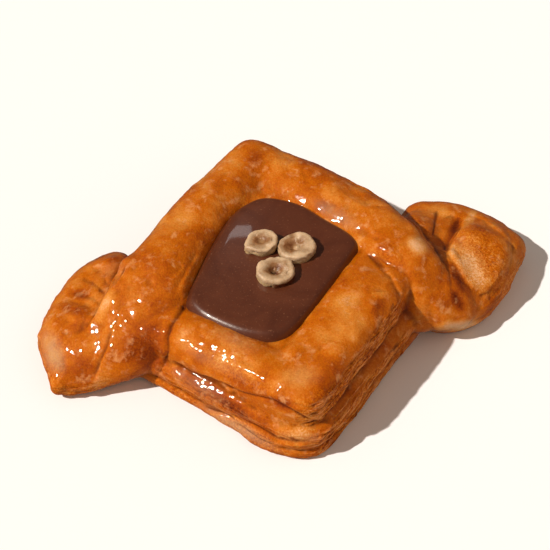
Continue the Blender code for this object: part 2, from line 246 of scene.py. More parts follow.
def evenly(line, count):
    """A closed line in plan as count evenly spread points."""
    closed = np.array([list(point) for point in [*line, line[0]]])
    travelled = np.concatenate(([0.0], np.cumsum(np.linalg.norm(np.diff(closed, axis=0), axis=1))))
    wanted = np.linspace(0.0, travelled[-1], count, endpoint=False)
    return [Vector([np.interp(w, travelled, closed[:, axis]) for axis in (0, 1)]) for w in wanted]


def smooth_outline(corners, count):
    """A closed smooth curve through the corners, as count evenly spread points."""
    n = len(corners)
    dense = []
    for i in range(n):
        around = [corners[(i + j) % n] for j in (-1, 0, 1, 2)]
        dense += [spline_point(*around, k / SPLINE_STEPS) for k in range(SPLINE_STEPS)]
    return evenly(dense, count)


print("points on the round of an ear's side:", len(smooth_line(EAR_LEVELS, 1.0)))


# %% Places on the square
def place_on_side(side, along, out):
    """Where a place on a side of the square lies, in x and y."""
    out_turn, along_turn = (math.radians(angle) for angle in SIDES[side])
    return (
        out * math.cos(out_turn) + along * math.cos(along_turn),
        out * math.sin(out_turn) + along * math.sin(along_turn),
    )


def base_outline(count):
    """The square with round corners, turned by 45 degrees."""
    out = [BASE_OUT[side] for side in ("back_right", "back_left", "front_left", "front_right")]
    corners = []
    for i in range(4):
        first = Vector((math.cos(math.radians(45 + 90 * i)), math.sin(math.radians(45 + 90 * i))))
        second = Vector((-first.y, first.x))
        corner = first * (out[i] - BASE_CORNER) + second * (out[(i + 1) % 4] - BASE_CORNER)
        for k in range(CORNER_STEPS + 1):
            angle = math.radians(90.0 * k / CORNER_STEPS)
            corners.append(corner + (first * math.cos(angle) + second * math.sin(angle)) * BASE_CORNER)
    return evenly(corners, count)


def inset(outline, distance):
    """A closed outline with every point moved towards its middle."""
    middle = sum(outline, Vector((0.0, 0.0))) / len(outline)
    return [point + (middle - point).normalized() * distance for point in outline]


print("base outline starts at, mm:", [round(v, 1) for v in base_outline(4)[0]])

# %% [markdown]
# ## Rolls and slabs
#
# A roll starts as a circle of edges, which is extruded from station to station and reshaped at each one.
# A slab is made the same way from its outline, level by level. Both end in a cap.

# %% Lofting by extrusion
def loft(mesh_data, rings):
    """Extrudes a circle of edges through the rings, and caps both ends."""
    order = mesh_data.verts.layers.int.get("order") or mesh_data.verts.layers.int.new("order")
    verts = bmesh.ops.create_circle(mesh_data, segments=len(rings[0]), radius=1.0)["verts"]
    for i, vert in enumerate(verts):
        vert[order] = i
        vert.co = rings[0][i]
    border = list(dict.fromkeys(edge for vert in verts for edge in vert.link_edges))
    bmesh.ops.edgeloop_fill(mesh_data, edges=border)
    for ring in rings[1:]:
        grown = bmesh.ops.extrude_edge_only(mesh_data, edges=border)["geom"]
        border = [item for item in grown if isinstance(item, bmesh.types.BMEdge)]
        for item in grown:
            if isinstance(item, bmesh.types.BMVert):
                item.co = ring[item[order]]
    bmesh.ops.edgeloop_fill(mesh_data, edges=border)


# %% Sections of dough
ROLL_SIDES = 72
ROLL_STEP = 1.2  # mm between the rings of a roll
ROUND_SECTION = 2.2  # 2 makes the section of a roll an ellipse, more makes it squarer
SECTIONS = {"front_right": 3.3, "right_lower": 3.0, "right_end": 2.8}
CAP_ANGLES = (15, 30, 45, 60, 72, 82)  # how the round end of a roll closes
PATH_REACH = 3  # points to each side that give a roll's way


def roll_ring(centre, ahead, half_width, half_height, lean, squareness):
    """The section of a roll: points round its centre, across the way ahead."""
    level = ahead.cross(UP).normalized()
    turn = Matrix.Rotation(math.radians(lean), 3, ahead)
    across = turn @ level
    upward = turn @ level.cross(ahead)
    ring = []
    for i in range(ROLL_SIDES):
        angle = 2 * math.pi * i / ROLL_SIDES
        power = 2 / squareness
        sideways = math.copysign(abs(math.cos(angle)) ** power, math.cos(angle)) * half_width
        lift = math.copysign(abs(math.sin(angle)) ** power, math.sin(angle)) * half_height
        ring.append(centre + across * sideways + upward * lift)
    return ring


def roll(mesh_data, stations, squareness):
    """A soft roll of dough through the stations, round at both ends."""
    line = smooth_line(stations, ROLL_STEP)
    centres = [Vector(point[:3]) for point in line]
    rings = []
    last = len(line) - 1
    for i, (_, _, _, width, height, lean) in enumerate(line):
        ahead = (centres[min(i + PATH_REACH, last)] - centres[max(i - PATH_REACH, 0)]).normalized()
        ring = [roll_ring(centres[i], ahead, width, height, lean, squareness)]
        if i in (0, last):
            outwards = -ahead if i == 0 else ahead
            caps = []
            for angle in CAP_ANGLES:
                turned = math.radians(angle)
                centre = centres[i] + outwards * min(width, height) * math.sin(turned)
                narrower = width * math.cos(turned), height * math.cos(turned)
                caps.append(roll_ring(centre, ahead, *narrower, lean, squareness))
            ring = caps[::-1] + ring if i == 0 else ring + caps
        rings += ring
    loft(mesh_data, rings)


def slab(mesh_data, outline, levels):
    """A slab of dough with the outline set in by its own amount at each level."""
    loft(mesh_data, [[Vector((*point, height)) for point in inset(outline, gap)] for height, gap in levels])


print("rolls have", ROLL_SIDES, "sides")

# %% Laying the rolls and slabs
SLAB_POINTS = 300
EAR_STEP = 0.8  # mm between the rings of a plate
raw = bmesh.new()
for side, stations in STRIPS.items():
    path = [(*place_on_side(side, along, out), *rest) for along, out, *rest in stations]
    roll(raw, path, SECTIONS.get(side, ROUND_SECTION))
for corners in EAR_PLATES.values():
    slab(raw, smooth_outline(corners, SLAB_POINTS), smooth_line(EAR_LEVELS, EAR_STEP))
for name, stations in LOBES.items():
    roll(raw, [(*station, 0) for station in stations], SECTIONS.get(name, ROUND_SECTION))
slab(raw, base_outline(SLAB_POINTS), BASE_LEVELS)
slab(raw, smooth_outline(POOL_OUTLINE, SLAB_POINTS), BED_LEVELS)
raw.transform(Matrix.Translation((*CENTRE, 0.0)))
print("rolls and slabs:", len(raw.faces), "faces")

# %% [markdown]
# ## One skin
#
# Dough that touches in the oven bakes together. A voxel remesh does the same: it melts the overlapping
# rolls into one closed skin of even squares, which is also what sculpting needs.

# %% Melting the rolls into one skin
VOXEL = 0.58  # mm, the width of a square of the skin
UNDER_FACING = -0.9  # a face that looks down more than this, and lies lower than the next, is underneath
UNDER_HEIGHT = 0.4


def to_mesh(name, mesh_data):
    """A mesh in metres, with its faces pointing out, from a bmesh in millimetres."""
    mesh_data.transform(Matrix.Scale(MM, 4))
    bmesh.ops.recalc_face_normals(mesh_data, faces=mesh_data.faces)
    mesh = bpy.data.meshes.new(name)
    mesh_data.to_mesh(mesh)
    mesh_data.free()
    return mesh


def new_piece(name, data):
    """An object in the scene that holds a mesh or a lamp."""
    piece = bpy.data.objects.new(name, data)
    bpy.context.scene.collection.objects.link(piece)
    return piece


def melted(name, mesh):
    """The mesh as one closed skin of even squares."""
    blank = new_piece(name + "_blank", mesh)
    remesh = blank.modifiers.new("melt", "REMESH")
    remesh.mode = "VOXEL"
    remesh.voxel_size = VOXEL * MM
    graph = bpy.context.evaluated_depsgraph_get()
    skin = bpy.data.meshes.new_from_object(blank.evaluated_get(graph))
    bpy.data.objects.remove(blank)
    return skin


def thin_underside(mesh):
    """Makes one large face of the flat underside, which needs no small ones, and splits it in triangles."""
    flat = bmesh.new()
    flat.from_mesh(mesh)
    flat.normal_update()
    low = [face for face in flat.faces if face.calc_center_median().z < UNDER_HEIGHT * MM]
    under = [face for face in low if face.normal.z < UNDER_FACING]
    bmesh.ops.dissolve_faces(flat, faces=under, use_verts=True)
    large = [face for face in flat.faces if len(face.verts) > 4]
    bmesh.ops.triangulate(flat, faces=large)
    flat.to_mesh(mesh)
    flat.free()


dough = new_piece("dough", melted("dough", to_mesh("rolls", raw)))
print("one skin:", len(dough.data.polygons), "faces")
thin_underside(dough.data)
print("thinned underneath:", len(dough.data.polygons), "faces")

# %% [markdown]
# ## Sculpting in arrays
#
# A sculptor pushes the surface in and out with a brush. Here a brush is a field: one number for each
# point of the skin, in mm, by which the point moves along its normal. Fields add up, so creases, lips,
# swellings and unevenness can be made one by one and applied together.

# %% The skin as arrays
def read_skin(mesh):
    """The mesh's points in mm, and their normals."""
    places = np.empty(len(mesh.vertices) * 3, dtype=np.float32)
    normals = np.empty_like(places)
    mesh.vertices.foreach_get("co", places)
    mesh.vertex_normals.foreach_get("vector", normals)
    return places.reshape(-1, 3).astype(float) / MM, normals.reshape(-1, 3).astype(float)


def settled(mesh, places):
    """Puts the points into the mesh, and reads them back with their new normals."""
    mesh.vertices.foreach_set("co", (places * MM).astype(np.float32).ravel())
    mesh.update()
    return read_skin(mesh)


def edge_ends(mesh):
    """The two points of every edge."""
    ends = np.empty(len(mesh.edges) * 2, dtype=np.int32)
    mesh.edges.foreach_get("vertices", ends)
    return ends.reshape(-1, 2)


def spread(values, ends, rounds, strength=0.5):
    """Values of the points, evened out with their neighbours' values."""
    columns = values.reshape(len(values), -1).astype(float)
    links = np.bincount(ends.ravel(), minlength=len(values))
    for _ in range(rounds):
        total = np.stack([
            np.bincount(ends[:, 0], column[ends[:, 1]], len(values))
            + np.bincount(ends[:, 1], column[ends[:, 0]], len(values))
            for column in columns.T
        ], axis=1)
        change = total / links[:, None] - columns
        columns = columns + change * np.reshape(strength, (-1, 1) if np.ndim(strength) else ())
    return columns.reshape(values.shape)


def rise(values, start, end):
    """0 below start, 1 above end, and a soft step between."""
    t = np.clip((values - start) / (end - start), 0.0, 1.0)
    return t * t * (3 - 2 * t)


skin = dough.data
ends = edge_ends(skin)
places, normals = read_skin(skin)
print("skin:", len(places), "points")

# %% [markdown]
# ## First softening
#
# Where rolls met, the melted skin has hard steps. A few rounds of evening out turn them into the soft
# folds of risen dough. The ears get many more rounds, because their folds are drawn afterwards.

# %% Softening
ELBOWS = ((-3, 40, 18), (-10, -41, 18))  # x, y and reach of the corners where a strip turns
PITS = ((53.5, 8.5, 14),)  # the same for the hollow that the dough fills beside the right crossing
EAR_STARTS, EAR_IS_WHOLE = 46.0, 60.0  # mm from the middle, to either side
HOLLOW_SHARE = 0.9  # how much of a hollow is filled
TIP_STARTS, TIP_IS_WHOLE = 52.0, 66.0  # mm from the middle, towards the left ear's corner
TIP_PRESSED = 0.2  # share by which that corner is pressed flatter


def fill_hollows(places, normals, where, rounds):
    """Raises hollows to the evened-out skin, and leaves what stands out as it is."""
    fill = ((spread(places, ends, rounds) - places) * normals).sum(axis=1)
    return places + normals * (np.maximum(fill, 0.0) * where)[:, None]


def near_spot(places, x, y, reach):
    """1 round a spot in plan, fading to 0 at its reach."""
    return 1 - rise(np.hypot(places[:, 0] - x, places[:, 1] - y), 0.4 * reach, reach)


ear_reach = rise(np.abs(places[:, 0]), EAR_STARTS, EAR_IS_WHOLE) * rise(places[:, 2], 1.0, 6.0)
places = spread(places, ends, 4)
places = spread(places, ends, 26, 0.5 * ear_reach)
towards_tip = -0.5 ** 0.5 * (places[:, 0] + places[:, 1])
places[:, 2] *= 1 - TIP_PRESSED * rise(towards_tip, TIP_STARTS, TIP_IS_WHOLE)
places, normals = settled(skin, places)
places = fill_hollows(places, normals, HOLLOW_SHARE * ear_reach, 160)
places, normals = settled(skin, places)
places = fill_hollows(places, normals, HOLLOW_SHARE * ear_reach, 100)
for elbow in ELBOWS:
    near = near_spot(places, *elbow)
    places = fill_hollows(places, normals, near, 160)
    places = spread(places, ends, 30, 0.5 * near)
places, normals = settled(skin, places)
for pit in PITS:
    places = fill_hollows(places, normals, HOLLOW_SHARE * near_spot(places, *pit), 220)
places[:, 2] = np.maximum(places[:, 2], 0.0)
places, normals = settled(skin, places)
print("softened; lowest point", round(places[:, 2].min(), 2), "mm")

# %% [markdown]
# ## Folds drawn on the picture
#
# Folds, cut edges and dimples that show in the photograph are drawn as strokes over it, corner by corner
# in its pixels. A stroke acts only on points that the camera sees. To the left and to the right of the
# way it is walked, it raises or lowers the surface by its own amount, fading over its own width. Equal
# amounts make a crease or a ridge. Opposite ones make a lip, where one sheet of dough ends on another.

# %% Which points the camera sees
OFF_SKIN = 0.8  # mm above the skin, where a line of sight starts
LEAST_FACING = 0.02  # points that face the camera less than this show as the outline at most


def view_of(mesh, places, normals):
    """The pixel of every point, and 1 if it is in plain view or 0 if it is hidden, with soft borders."""
    tree = BVHTree.FromPolygons([v.co for v in mesh.vertices], [p.vertices for p in mesh.polygons])
    towards = np.array(eye) - places
    towards /= np.linalg.norm(towards, axis=1)[:, None]
    facing = (towards * normals).sum(axis=1)
    starts = places + normals * OFF_SKIN
    seen = np.zeros(len(places))
    for i in np.nonzero(facing > LEAST_FACING)[0]:
        hit = tree.ray_cast(Vector(starts[i] * MM), Vector(towards[i]))
        seen[i] = hit[0] is None
    return on_picture(places), spread(seen, ends, 4)


pixels, seen = view_of(skin, places, normals)
print("in plain view:", int((seen > 0.5).sum()), "points")


# %% Strokes and swellings
SIDE_BLUR = 0.35  # mm over which a stroke's left side turns into its right
TAPER = 0.15  # share of its length over which each end fades


def stroke(corners, left, right):
    """The field of one stroke; left and right are (mm up or down, mm that it fades over)."""
    corners = np.array(corners, dtype=float)
    nearest = np.full(len(pixels), np.inf)
    signed = np.zeros(len(pixels))
    position = np.zeros(len(pixels))
    lengths = np.linalg.norm(np.diff(corners, axis=0), axis=1)
    walked = np.concatenate(([0.0], np.cumsum(lengths)))
    for i, length in enumerate(lengths):
        along = (corners[i + 1] - corners[i]) / length
        away = pixels - corners[i]
        t = np.clip(away @ along, 0.0, length)
        distance = np.linalg.norm(away - t[:, None] * along, axis=1)
        side = along[0] * away[:, 1] - along[1] * away[:, 0]
        closer = distance < nearest - 1e-6
        nearest = np.where(closer, distance, nearest)
        signed = np.where(closer, np.sign(side) * distance, signed)
        position = np.where(closer, (walked[i] + t) / walked[-1], position)
    distance = nearest * MM_PER_PIXEL
    rightness = 0.5 + 0.5 * np.tanh(signed * MM_PER_PIXEL / SIDE_BLUR)
    ends_fade = rise(position, -0.001, TAPER) * rise(1 - position, -0.001, TAPER)
    field = (1 - rightness) * left[0] * np.exp(-distance / left[1])
    field += rightness * right[0] * np.exp(-distance / right[1])
    return field * ends_fade * seen


def swelling(x, y, half_width, half_height, turn, height):
    """A low dome over an ellipse drawn on the picture; a negative height makes a dimple."""
    away = pixels - np.array((x, y))
    angle = math.radians(turn)
    across = away[:, 0] * math.cos(angle) + away[:, 1] * math.sin(angle)
    down = -away[:, 0] * math.sin(angle) + away[:, 1] * math.cos(angle)
    reach = (across / half_width) ** 2 + (down / half_height) ** 2
    return height * np.clip(1 - reach, 0.0, 1.0) ** 1.5 * seen


print("a stroke's sides meet over, mm:", SIDE_BLUR)

# %% Folds of the ears
LEFT_EAR_STROKES = (  # corners, then to the left and to the right: mm up or down, mm of fade
    (((86, 333), (91, 322), (97, 312), (102, 301), (110, 289), (120, 277), (132, 262)),
     (-1, 1.6), (1.2, 4)),
    (((105, 295), (98, 287), (90, 281), (80, 277)), (-0.4, 1.6), (-0.5, 0.9)),
    (((74, 295), (85, 297), (92, 299), (97, 304), (96, 311), (91, 318), (81, 325)),
     (-0.3, 2.6), (0.2, 1.6)),
    (((92, 322), (84, 328), (72, 333), (61, 334)), (-0.4, 2.6), (-0.4, 1.6)),
    (((114, 320), (111, 334), (107, 347), (101, 360), (94, 381)), (0.4, 2.6), (-0.45, 2)),
    (((131, 281), (124, 298), (117, 315), (112, 330)), (-0.4, 2.4), (-0.4, 2.4)),
    (((128, 268), (120, 280), (112, 291)), (-0.4, 0.7), (-0.4, 0.7)),
    (((61, 333), (65, 350), (66, 367), (56, 382)), (0.5, 3), (-0.3, 2)),
    (((140, 330), (150, 329), (160, 327)), (0.35, 1.2), (0.35, 1.2)),
)
RIGHT_EAR_STROKES = (
    (((400, 211), (416, 227), (431, 242), (441, 262), (447, 274), (450, 291), (463, 311)),
     (-0.5, 1.4), (0.5, 2.4)),
    (((465, 213), (460, 228), (452, 241), (448, 251), (457, 264), (466, 281), (475, 294)),
     (0.9, 5), (-0.8, 1.2)),
    (((460, 214), (456, 228), (449, 240), (446, 250)), (-0.5, 1.2), (-1.5, 3.2)),
    (((437, 209), (435, 222), (433, 236)), (-0.6, 0.6), (-0.6, 0.6)),
    (((466, 212), (484, 219), (502, 232), (514, 246), (511, 268), (500, 290), (486, 305), (470, 316)),
     (0.4, 1.6), (-0.4, 1.6)),
    (((475, 295), (486, 292), (497, 280), (504, 266)), (0.4, 2), (-0.6, 2)),
    (((446, 331), (462, 329), (484, 318), (502, 300), (512, 278)), (-0.7, 0.9), (0.5, 1.2)),
)
print("strokes on the ears:", len(LEFT_EAR_STROKES), len(RIGHT_EAR_STROKES))

# %% Folds of the front, of the window's edge, and swellings
FRONT_STROKES = (
    (((168, 356), (193, 371), (224, 383), (242, 391), (272, 398), (292, 409), (308, 418), (327, 421)),
     (0.5, 2.4), (-1.5, 0.9)),
    (((196, 403), (214, 412), (237, 418), (256, 427), (266, 433), (276, 440), (298, 443), (315, 443)),
     (-1.3, 0.9), (0.9, 1.6)),
    (((283, 401), (305, 407), (323, 410), (335, 399), (347, 384)), (-0.4, 0.9), (0.4, 0.9)),
    (((326, 413), (340, 396), (352, 378), (366, 361), (377, 347), (390, 330)), (0.6, 1.2), (-0.7, 1.2)),
    (((327, 424), (345, 404), (360, 384), (373, 370)), (0.5, 0.9), (-0.5, 1.2)),
)
WINDOW_STROKES = (
    (((190, 297), (178, 311), (169, 324), (165, 338), (166, 351), (161, 366), (154, 377)),
     (-1.3, 2), (0.3, 3)),
    (((198, 244), (197, 254), (188, 270), (179, 284), (174, 299)), (0.3, 1.6), (-0.3, 1.4)),
    (((181, 247), (178, 259), (183, 267), (171, 278), (166, 286)), (0.25, 1.3), (-0.25, 1.3)),
    (((190, 262), (184, 276), (180, 290), (181, 303)), (0.25, 1.2), (-0.25, 1.4)),
    (((363, 252), (371, 255), (381, 265), (391, 275), (396, 284), (405, 299)), (0.5, 1.6), (-0.9, 1.2)),
)
SWELLINGS = (  # centre and half widths in pixels, turn in degrees, height in mm
    (480, 258, 24, 36, -32, 0.3), (420, 224, 18, 13, 25, 0.9), (116, 262, 24, 13, -8, 2.3),
    (78, 314, 20, 11, 15, 0.6), (84, 362, 15, 26, 20, 0.3), (138, 330, 20, 40, 22, 0.5),
    (425, 285, 26, 38, -25, 0.8), (335, 196, 16, 11, 25, 0.5), (418, 245, 15, 10, 35, 0.5),
    (235, 345, 36, 14, 20, 0.4), (345, 335, 22, 34, 38, 0.7), (384, 304, 9, 14, 25, -0.4),
    (225, 428, 22, 8, 30, 1.6), (258, 440, 34, 11, 28, 2.2), (336, 440, 26, 13, -45, -1.8),
    (360, 190, 34, 12, 30, -1.2), (56, 387, 10, 10, 0, 1.2), (205, 208, 20, 26, 40, 0.4),
    (163, 258, 18, 24, 35, 0.4),
)

folds = sum(
    stroke(*each) for group in (LEFT_EAR_STROKES, RIGHT_EAR_STROKES, FRONT_STROKES, WINDOW_STROKES)
    for each in group
)
folds += sum(swelling(*each) for each in SWELLINGS)
places = spread(places + normals * folds[:, None], ends, 1)
places, normals = settled(skin, places)
print("deepest fold", round(folds.min(), 2), "mm; highest swelling", round(folds.max(), 2), "mm")

# %% [markdown]
# ## Unevenness, blisters and layers
#
# Risen dough is never smooth. It sags and swells over a centimetre or two, steam lifts small blisters,
# and cut sides show the edges of dozens of thin layers. Noise gives the first, the cells of a Voronoi
# pattern the second, and ridges that follow the height, bent by noise, the third.

# %% Patterns for the crust
MOUND_RADIUS = 0.55  # as a share of a cell's width
BARE_CELLS = 0.45  # share of the cells that have no mound
LAYER_LENGTH, LAYER_BEND = 8.0, 0.22  # mm


def clouds(places, size, seed):
    """Soft noise from about -1 to 1, with features about size mm across."""
    shift = Vector((seed, 1.7 * seed, -0.6 * seed))
    return np.array([noise.fractal(Vector(p) / size + shift, 1.0, 2.0, 2) for p in places])


def blisters(places, size, seed):
    """Round mounds from 0 to 1, in about half of the cells of a pattern."""
    field = np.zeros(len(places))
    for i, p in enumerate(places):
        at = Vector(p) / size + Vector((seed, seed, seed))
        distances, middles = noise.voronoi(at)
        chosen = noise.cell_vector(middles[0] * 7.3)[0]
        field[i] = max(0.0, 1 - (distances[0] / MOUND_RADIUS) ** 2) * (chosen > BARE_CELLS)
    return field


def flaky_layers(places, spacing):
    """Long, thin, level ridges, sharp on top, as the edges of layers are; from about -1 to 1."""
    bend = LAYER_BEND * clouds(places, LAYER_LENGTH, 41.0)
    stretched = places / (LAYER_LENGTH, LAYER_LENGTH, spacing)
    stretched[:, 2] += bend * LAYER_LENGTH / spacing
    return np.array([1 - 4 * abs(noise.noise(Vector(p))) for p in stretched])


def cut_sides(places):
    """1 where a cut side shows its layers: the base all round, the right front strip and the ears' rims."""
    flat = places[:, :2] - np.array(CENTRE)
    out = {side: flat @ np.array(place_on_side(side, 0.0, 1.0)) for side in SIDES}
    near_side = {side: rise(out[side], BASE_OUT[side] - 8, BASE_OUT[side] - 4) for side in SIDES}
    field = np.max(list(near_side.values()), axis=0) * (1 - rise(places[:, 2], 14.0, 17.0))
    field = np.maximum(field, rise(out["front_right"], 31.0, 35.0))
    field *= 1 - 0.6 * near_side["front_left"]
    covered = rise(out["front_left"], 20.0, 30.0) * rise(out["back_left"], 12.0, 18.0)
    covered = np.maximum(covered, rise(out["front_right"], 20.0, 30.0) * rise(out["back_right"], 2.0, 9.0))
    field *= 1 - covered
    rims = rise(np.abs(places[:, 0]), 58.0, 68.0) * (1 - rise(places[:, 2], 10.0, 13.0))
    return np.maximum(field, 0.6 * rims)


print("sides of the base that show layers:", len(SIDES))

# %% Relief of the crust
CLOUDS = ((17.0, 3.0), (6.0, 11.0), (2.2, 23.0))  # size in mm, and a seed
HEIGHTS = (0.45, 0.22, 0.09)  # mm that each of them lifts the crust at most
BLISTER_SIZE, BLISTER_HEIGHT = 7.5, 0.28
LAYER_SPACINGS = (1.6, 2.9)  # mm between the edges of layers, coarser than real ones so that they show
LAYER_SHARES = (0.6, 0.4)
LAYER_HEIGHT = 0.34
wide, middling, fine = (clouds(places, size, seed) for size, seed in CLOUDS)
mounds = blisters(places, BLISTER_SIZE, 4.0)
standing = rise(1 - np.abs(normals[:, 2]), 0.35, 0.75)
above_table = rise(places[:, 2], 0.0, 2.0)
flakes = sum(share * flaky_layers(places, gap) for share, gap in zip(LAYER_SHARES, LAYER_SPACINGS))
layered = standing * cut_sides(places)
relief = sum(height * cloud for height, cloud in zip(HEIGHTS, (wide, middling, fine)))
relief += BLISTER_HEIGHT * mounds * (1 - standing)
relief += layered * (LAYER_HEIGHT * flakes + 0.15 * fine)
places = places + normals * (relief * above_table)[:, None]
for axis, (low, high) in enumerate(zip(*cad_box)):  # the relief must not reach out of the solid model's box
    least, most = places[:, axis].min(), places[:, axis].max()
    squeeze = min(1.0, (high - low) / MM / (most - least))
    shift = max(low / MM - least * squeeze, 0.0) if axis < 2 else -least * squeeze
    shift += min(high / MM - (most * squeeze + shift), 0.0)
    places[:, axis] = places[:, axis] * squeeze + shift
places, normals = settled(skin, places)
print("relief from", round(relief.min(), 2), "to", round(relief.max(), 2), "mm")

# %% [markdown]
# ## Places where the glaze shines
#
# Where the glaze shines in the photograph, the dough faces halfway between lamp and camera. So each bright
# spot gives the slope of the dough at that pixel, and a small place round it is flattened to that slope.
# Two places are turned away from it instead, and three are only made flat.

# %% Facets
KEY_TOWARDS = Vector((-0.675, -0.10, 0.73))  # the way to the lamp
FACET_MOST, FLAT_MOST = 1.2, 2.0  # mm that a point moves at most
FLATS = (  # flat, whichever way they face: centre and half widths in pixels, turn, and how flat
    (434, 284, 26, 50, -25, 0.8), (478, 262, 32, 44, -32, 0.6), (452, 306, 26, 22, -20, 0.7),
)
STEEP_PLACES = ((246, 374, 40, 9, 26, 0.8), (384, 256, 22, 14, 38, 0.9))  # these lean out further
STEEPER = 0.5
LEAN_OUT = Vector((-1.0, -1.0, 0.0)).normalized() * STEEPER
FACETS = (  # turned to the lamp: the same numbers
    (303, 201, 17, 10, 23, 1), (322, 209, 19, 10, 25, 1), (341, 218, 19, 10, 30, 1),
    (357, 228, 17, 10, 35, 1), (222, 352, 34, 7, 20, 0.8), (233, 400, 26, 7, 28, 0.8),
    (68, 350, 24, 28, -15, 0.8), (95, 326, 13, 17, 27, 1), (105, 313, 9, 14, 27, 0.8),
    (118, 288, 8, 11, 27, 0.9), (122, 300, 6, 8, 20, 0.8), (93, 341, 8, 8, 0, 0.7),
    (112, 279, 8, 8, 0, 0.9), (72, 309, 14, 7, 20, 0.5), (132, 313, 10, 10, 0, 1),
    (140, 301, 8, 8, 0, 0.9), (152, 281, 9, 9, 0, 0.9), (376, 236, 7, 7, 0, 0.8),
    (199, 342, 14, 9, 27, 0.9), (202, 334, 8, 8, 0, 0.7), (215, 349, 9, 7, 27, 0.9),
    (225, 353, 8, 7, 27, 0.9), (235, 358, 8, 7, 27, 0.8), (250, 361, 8, 7, 27, 0.6),
    (166, 366, 8, 7, 0, 0.9), (184, 372, 9, 9, 40, 0.9), (199, 383, 10, 9, 27, 0.9),
    (210, 388, 8, 8, 27, 0.9), (221, 394, 9, 8, 27, 0.9), (231, 396, 8, 8, 27, 0.9),
    (240, 402, 8, 8, 27, 0.9), (251, 410, 8, 7, 27, 0.9), (230, 388, 6, 5, 27, 0.8),
)
pixels, seen = view_of(skin, places, normals)
for place in FLATS + STEEP_PLACES + FACETS:
    *ellipse, share = place
    weight = swelling(*ellipse, 1.0)
    middle = np.average(places, axis=0, weights=weight ** 4)
    facing = KEY_TOWARDS.normalized() + (eye - Vector(middle)).normalized()
    most = FACET_MOST
    if place in FLATS:
        facing = Vector(np.average(normals, axis=0, weights=weight))
        most = FLAT_MOST
    if place in STEEP_PLACES:
        facing = facing.normalized() + LEAN_OUT
        most = FLAT_MOST
    facing = np.array(facing.normalized())
    above = np.clip((places - middle) @ facing, -most, most)
    places = places - (share * weight * above)[:, None] * facing
places, normals = settled(skin, places)
print("facets:", len(FACETS))

# %% [markdown]
# ## How baked, how flaky, how deep
#
# The oven browns the crust in patches, and the brush of glaze misses dry cut sides. Creases get painted
# shade, darker and redder, and a few of the pale and dark patches are painted light and painted shade.
# These are fields over the skin too, and the material reads them as attributes.

# %% Dark lines, pale and dark patches
# painted shade: creases that show as thin dark lines
DARK_LINES = (  # creases that show as thin dark lines, corner by corner, and how dark
    (((90, 281), (97, 286), (104, 294)), 0.5), (((111, 334), (107, 347), (101, 360), (95, 378)), 0.3),
    (((128, 268), (120, 280), (112, 291)), 0.35), (((98, 300), (96, 310), (90, 319)), 0.15),
    (((437, 209), (435, 222), (433, 236)), 0.8), (((430, 240), (440, 259), (447, 274), (450, 290)), 0.6),
    (((455, 213), (448, 230), (441, 248)), 0.4), (((400, 212), (416, 227), (431, 242)), 0.45),
    (((283, 401), (305, 407), (323, 410)), 0.3), (((170, 358), (193, 371), (224, 383), (256, 395)), 0.6),
    (((292, 409), (308, 418), (327, 421), (345, 404)), 0.6),
    (((189, 299), (178, 312), (169, 326), (165, 340)), 0.5),
    (((364, 252), (376, 259), (389, 273), (398, 288)), 0.5),
)
# mostly paler dough, and painted light on the right ear's shaded rim and on its bottom lip
PALE_PATCHES = (  # centre and half widths in pixels, turn in degrees, how much paler
    (52, 350, 13, 26, -18, 0.2), (350, 330, 26, 34, 40, 0.22), (472, 268, 17, 32, -32, 0.45),
    (418, 246, 15, 11, 35, 0.5), (348, 300, 14, 26, 40, 0.22), (320, 335, 14, 12, 30, 0.22),
    (112, 272, 14, 11, -10, 0.15), (330, 196, 14, 9, 25, 0.25), (186, 340, 12, 14, 0, 0.15),
    (104, 306, 8, 26, 27, 0.3), (302, 378, 26, 18, -20, 0.22), (186, 215, 16, 16, 0, 0.12),
    (205, 190, 14, 10, -40, 0.15), (70, 316, 16, 7, 20, 0.15), (305, 430, 24, 8, -10, 0.15),
    (272, 170, 16, 20, 20, 0.12), (212, 203, 14, 14, 0, 0.15), (458, 325, 30, 7, -5, 0.5),
    (470, 218, 6, 12, 35, 0.35), (392, 213, 16, 12, 30, 0.15), (512, 254, 10, 24, -15, 0.22),
    (440, 212, 20, 8, 10, 0.12), (240, 420, 34, 5, 30, 0.25), (165, 295, 16, 20, 20, 0.1),
    (236, 160, 22, 12, -30, 0.15), (425, 310, 18, 16, 0, 0.08), (452, 252, 6, 14, 10, 0.3),
)
# mostly browner dough, and painted shade on the front left sides that face the lamp, on the back right
# strip's inner slope and top, and on the left strip's end
DARK_PATCHES = (  # the same, and how much darker
    (380, 305, 10, 14, 30, 0.2), (78, 294, 16, 8, 10, 0.3), (454, 229, 6, 20, 25, 0.45),
    (146, 344, 30, 38, 25, 0.34), (405, 312, 12, 16, 0, 0.2), (493, 305, 10, 24, 40, 0.15),
    (458, 302, 8, 18, -28, 0.4), (72, 309, 18, 12, 0, 0.3), (282, 403, 24, 9, 20, 0.25),
    (251, 159, 16, 12, 0, 0.16), (216, 367, 50, 11, 27, 0.24), (204, 388, 46, 10, 30, 0.3),
    (245, 416, 44, 11, 30, 0.3), (84, 370, 16, 20, 20, 0.2), (335, 213, 30, 10, 30, 0.14),
    (315, 172, 26, 12, 25, 0.14), (380, 375, 50, 12, -48, 0.1), (460, 280, 7, 28, -28, 0.3),
    (372, 185, 50, 8, 33, 0.18), (484, 234, 20, 10, 20, 0.2), (120, 350, 18, 30, 25, 0.12),
    (160, 300, 18, 22, 20, 0.12), (330, 385, 40, 26, -45, 0.1), (270, 400, 60, 10, 25, 0.12),
    (115, 258, 24, 6, -5, 0.2),
)
print("patches:", len(PALE_PATCHES), "pale,", len(DARK_PATCHES), "dark")

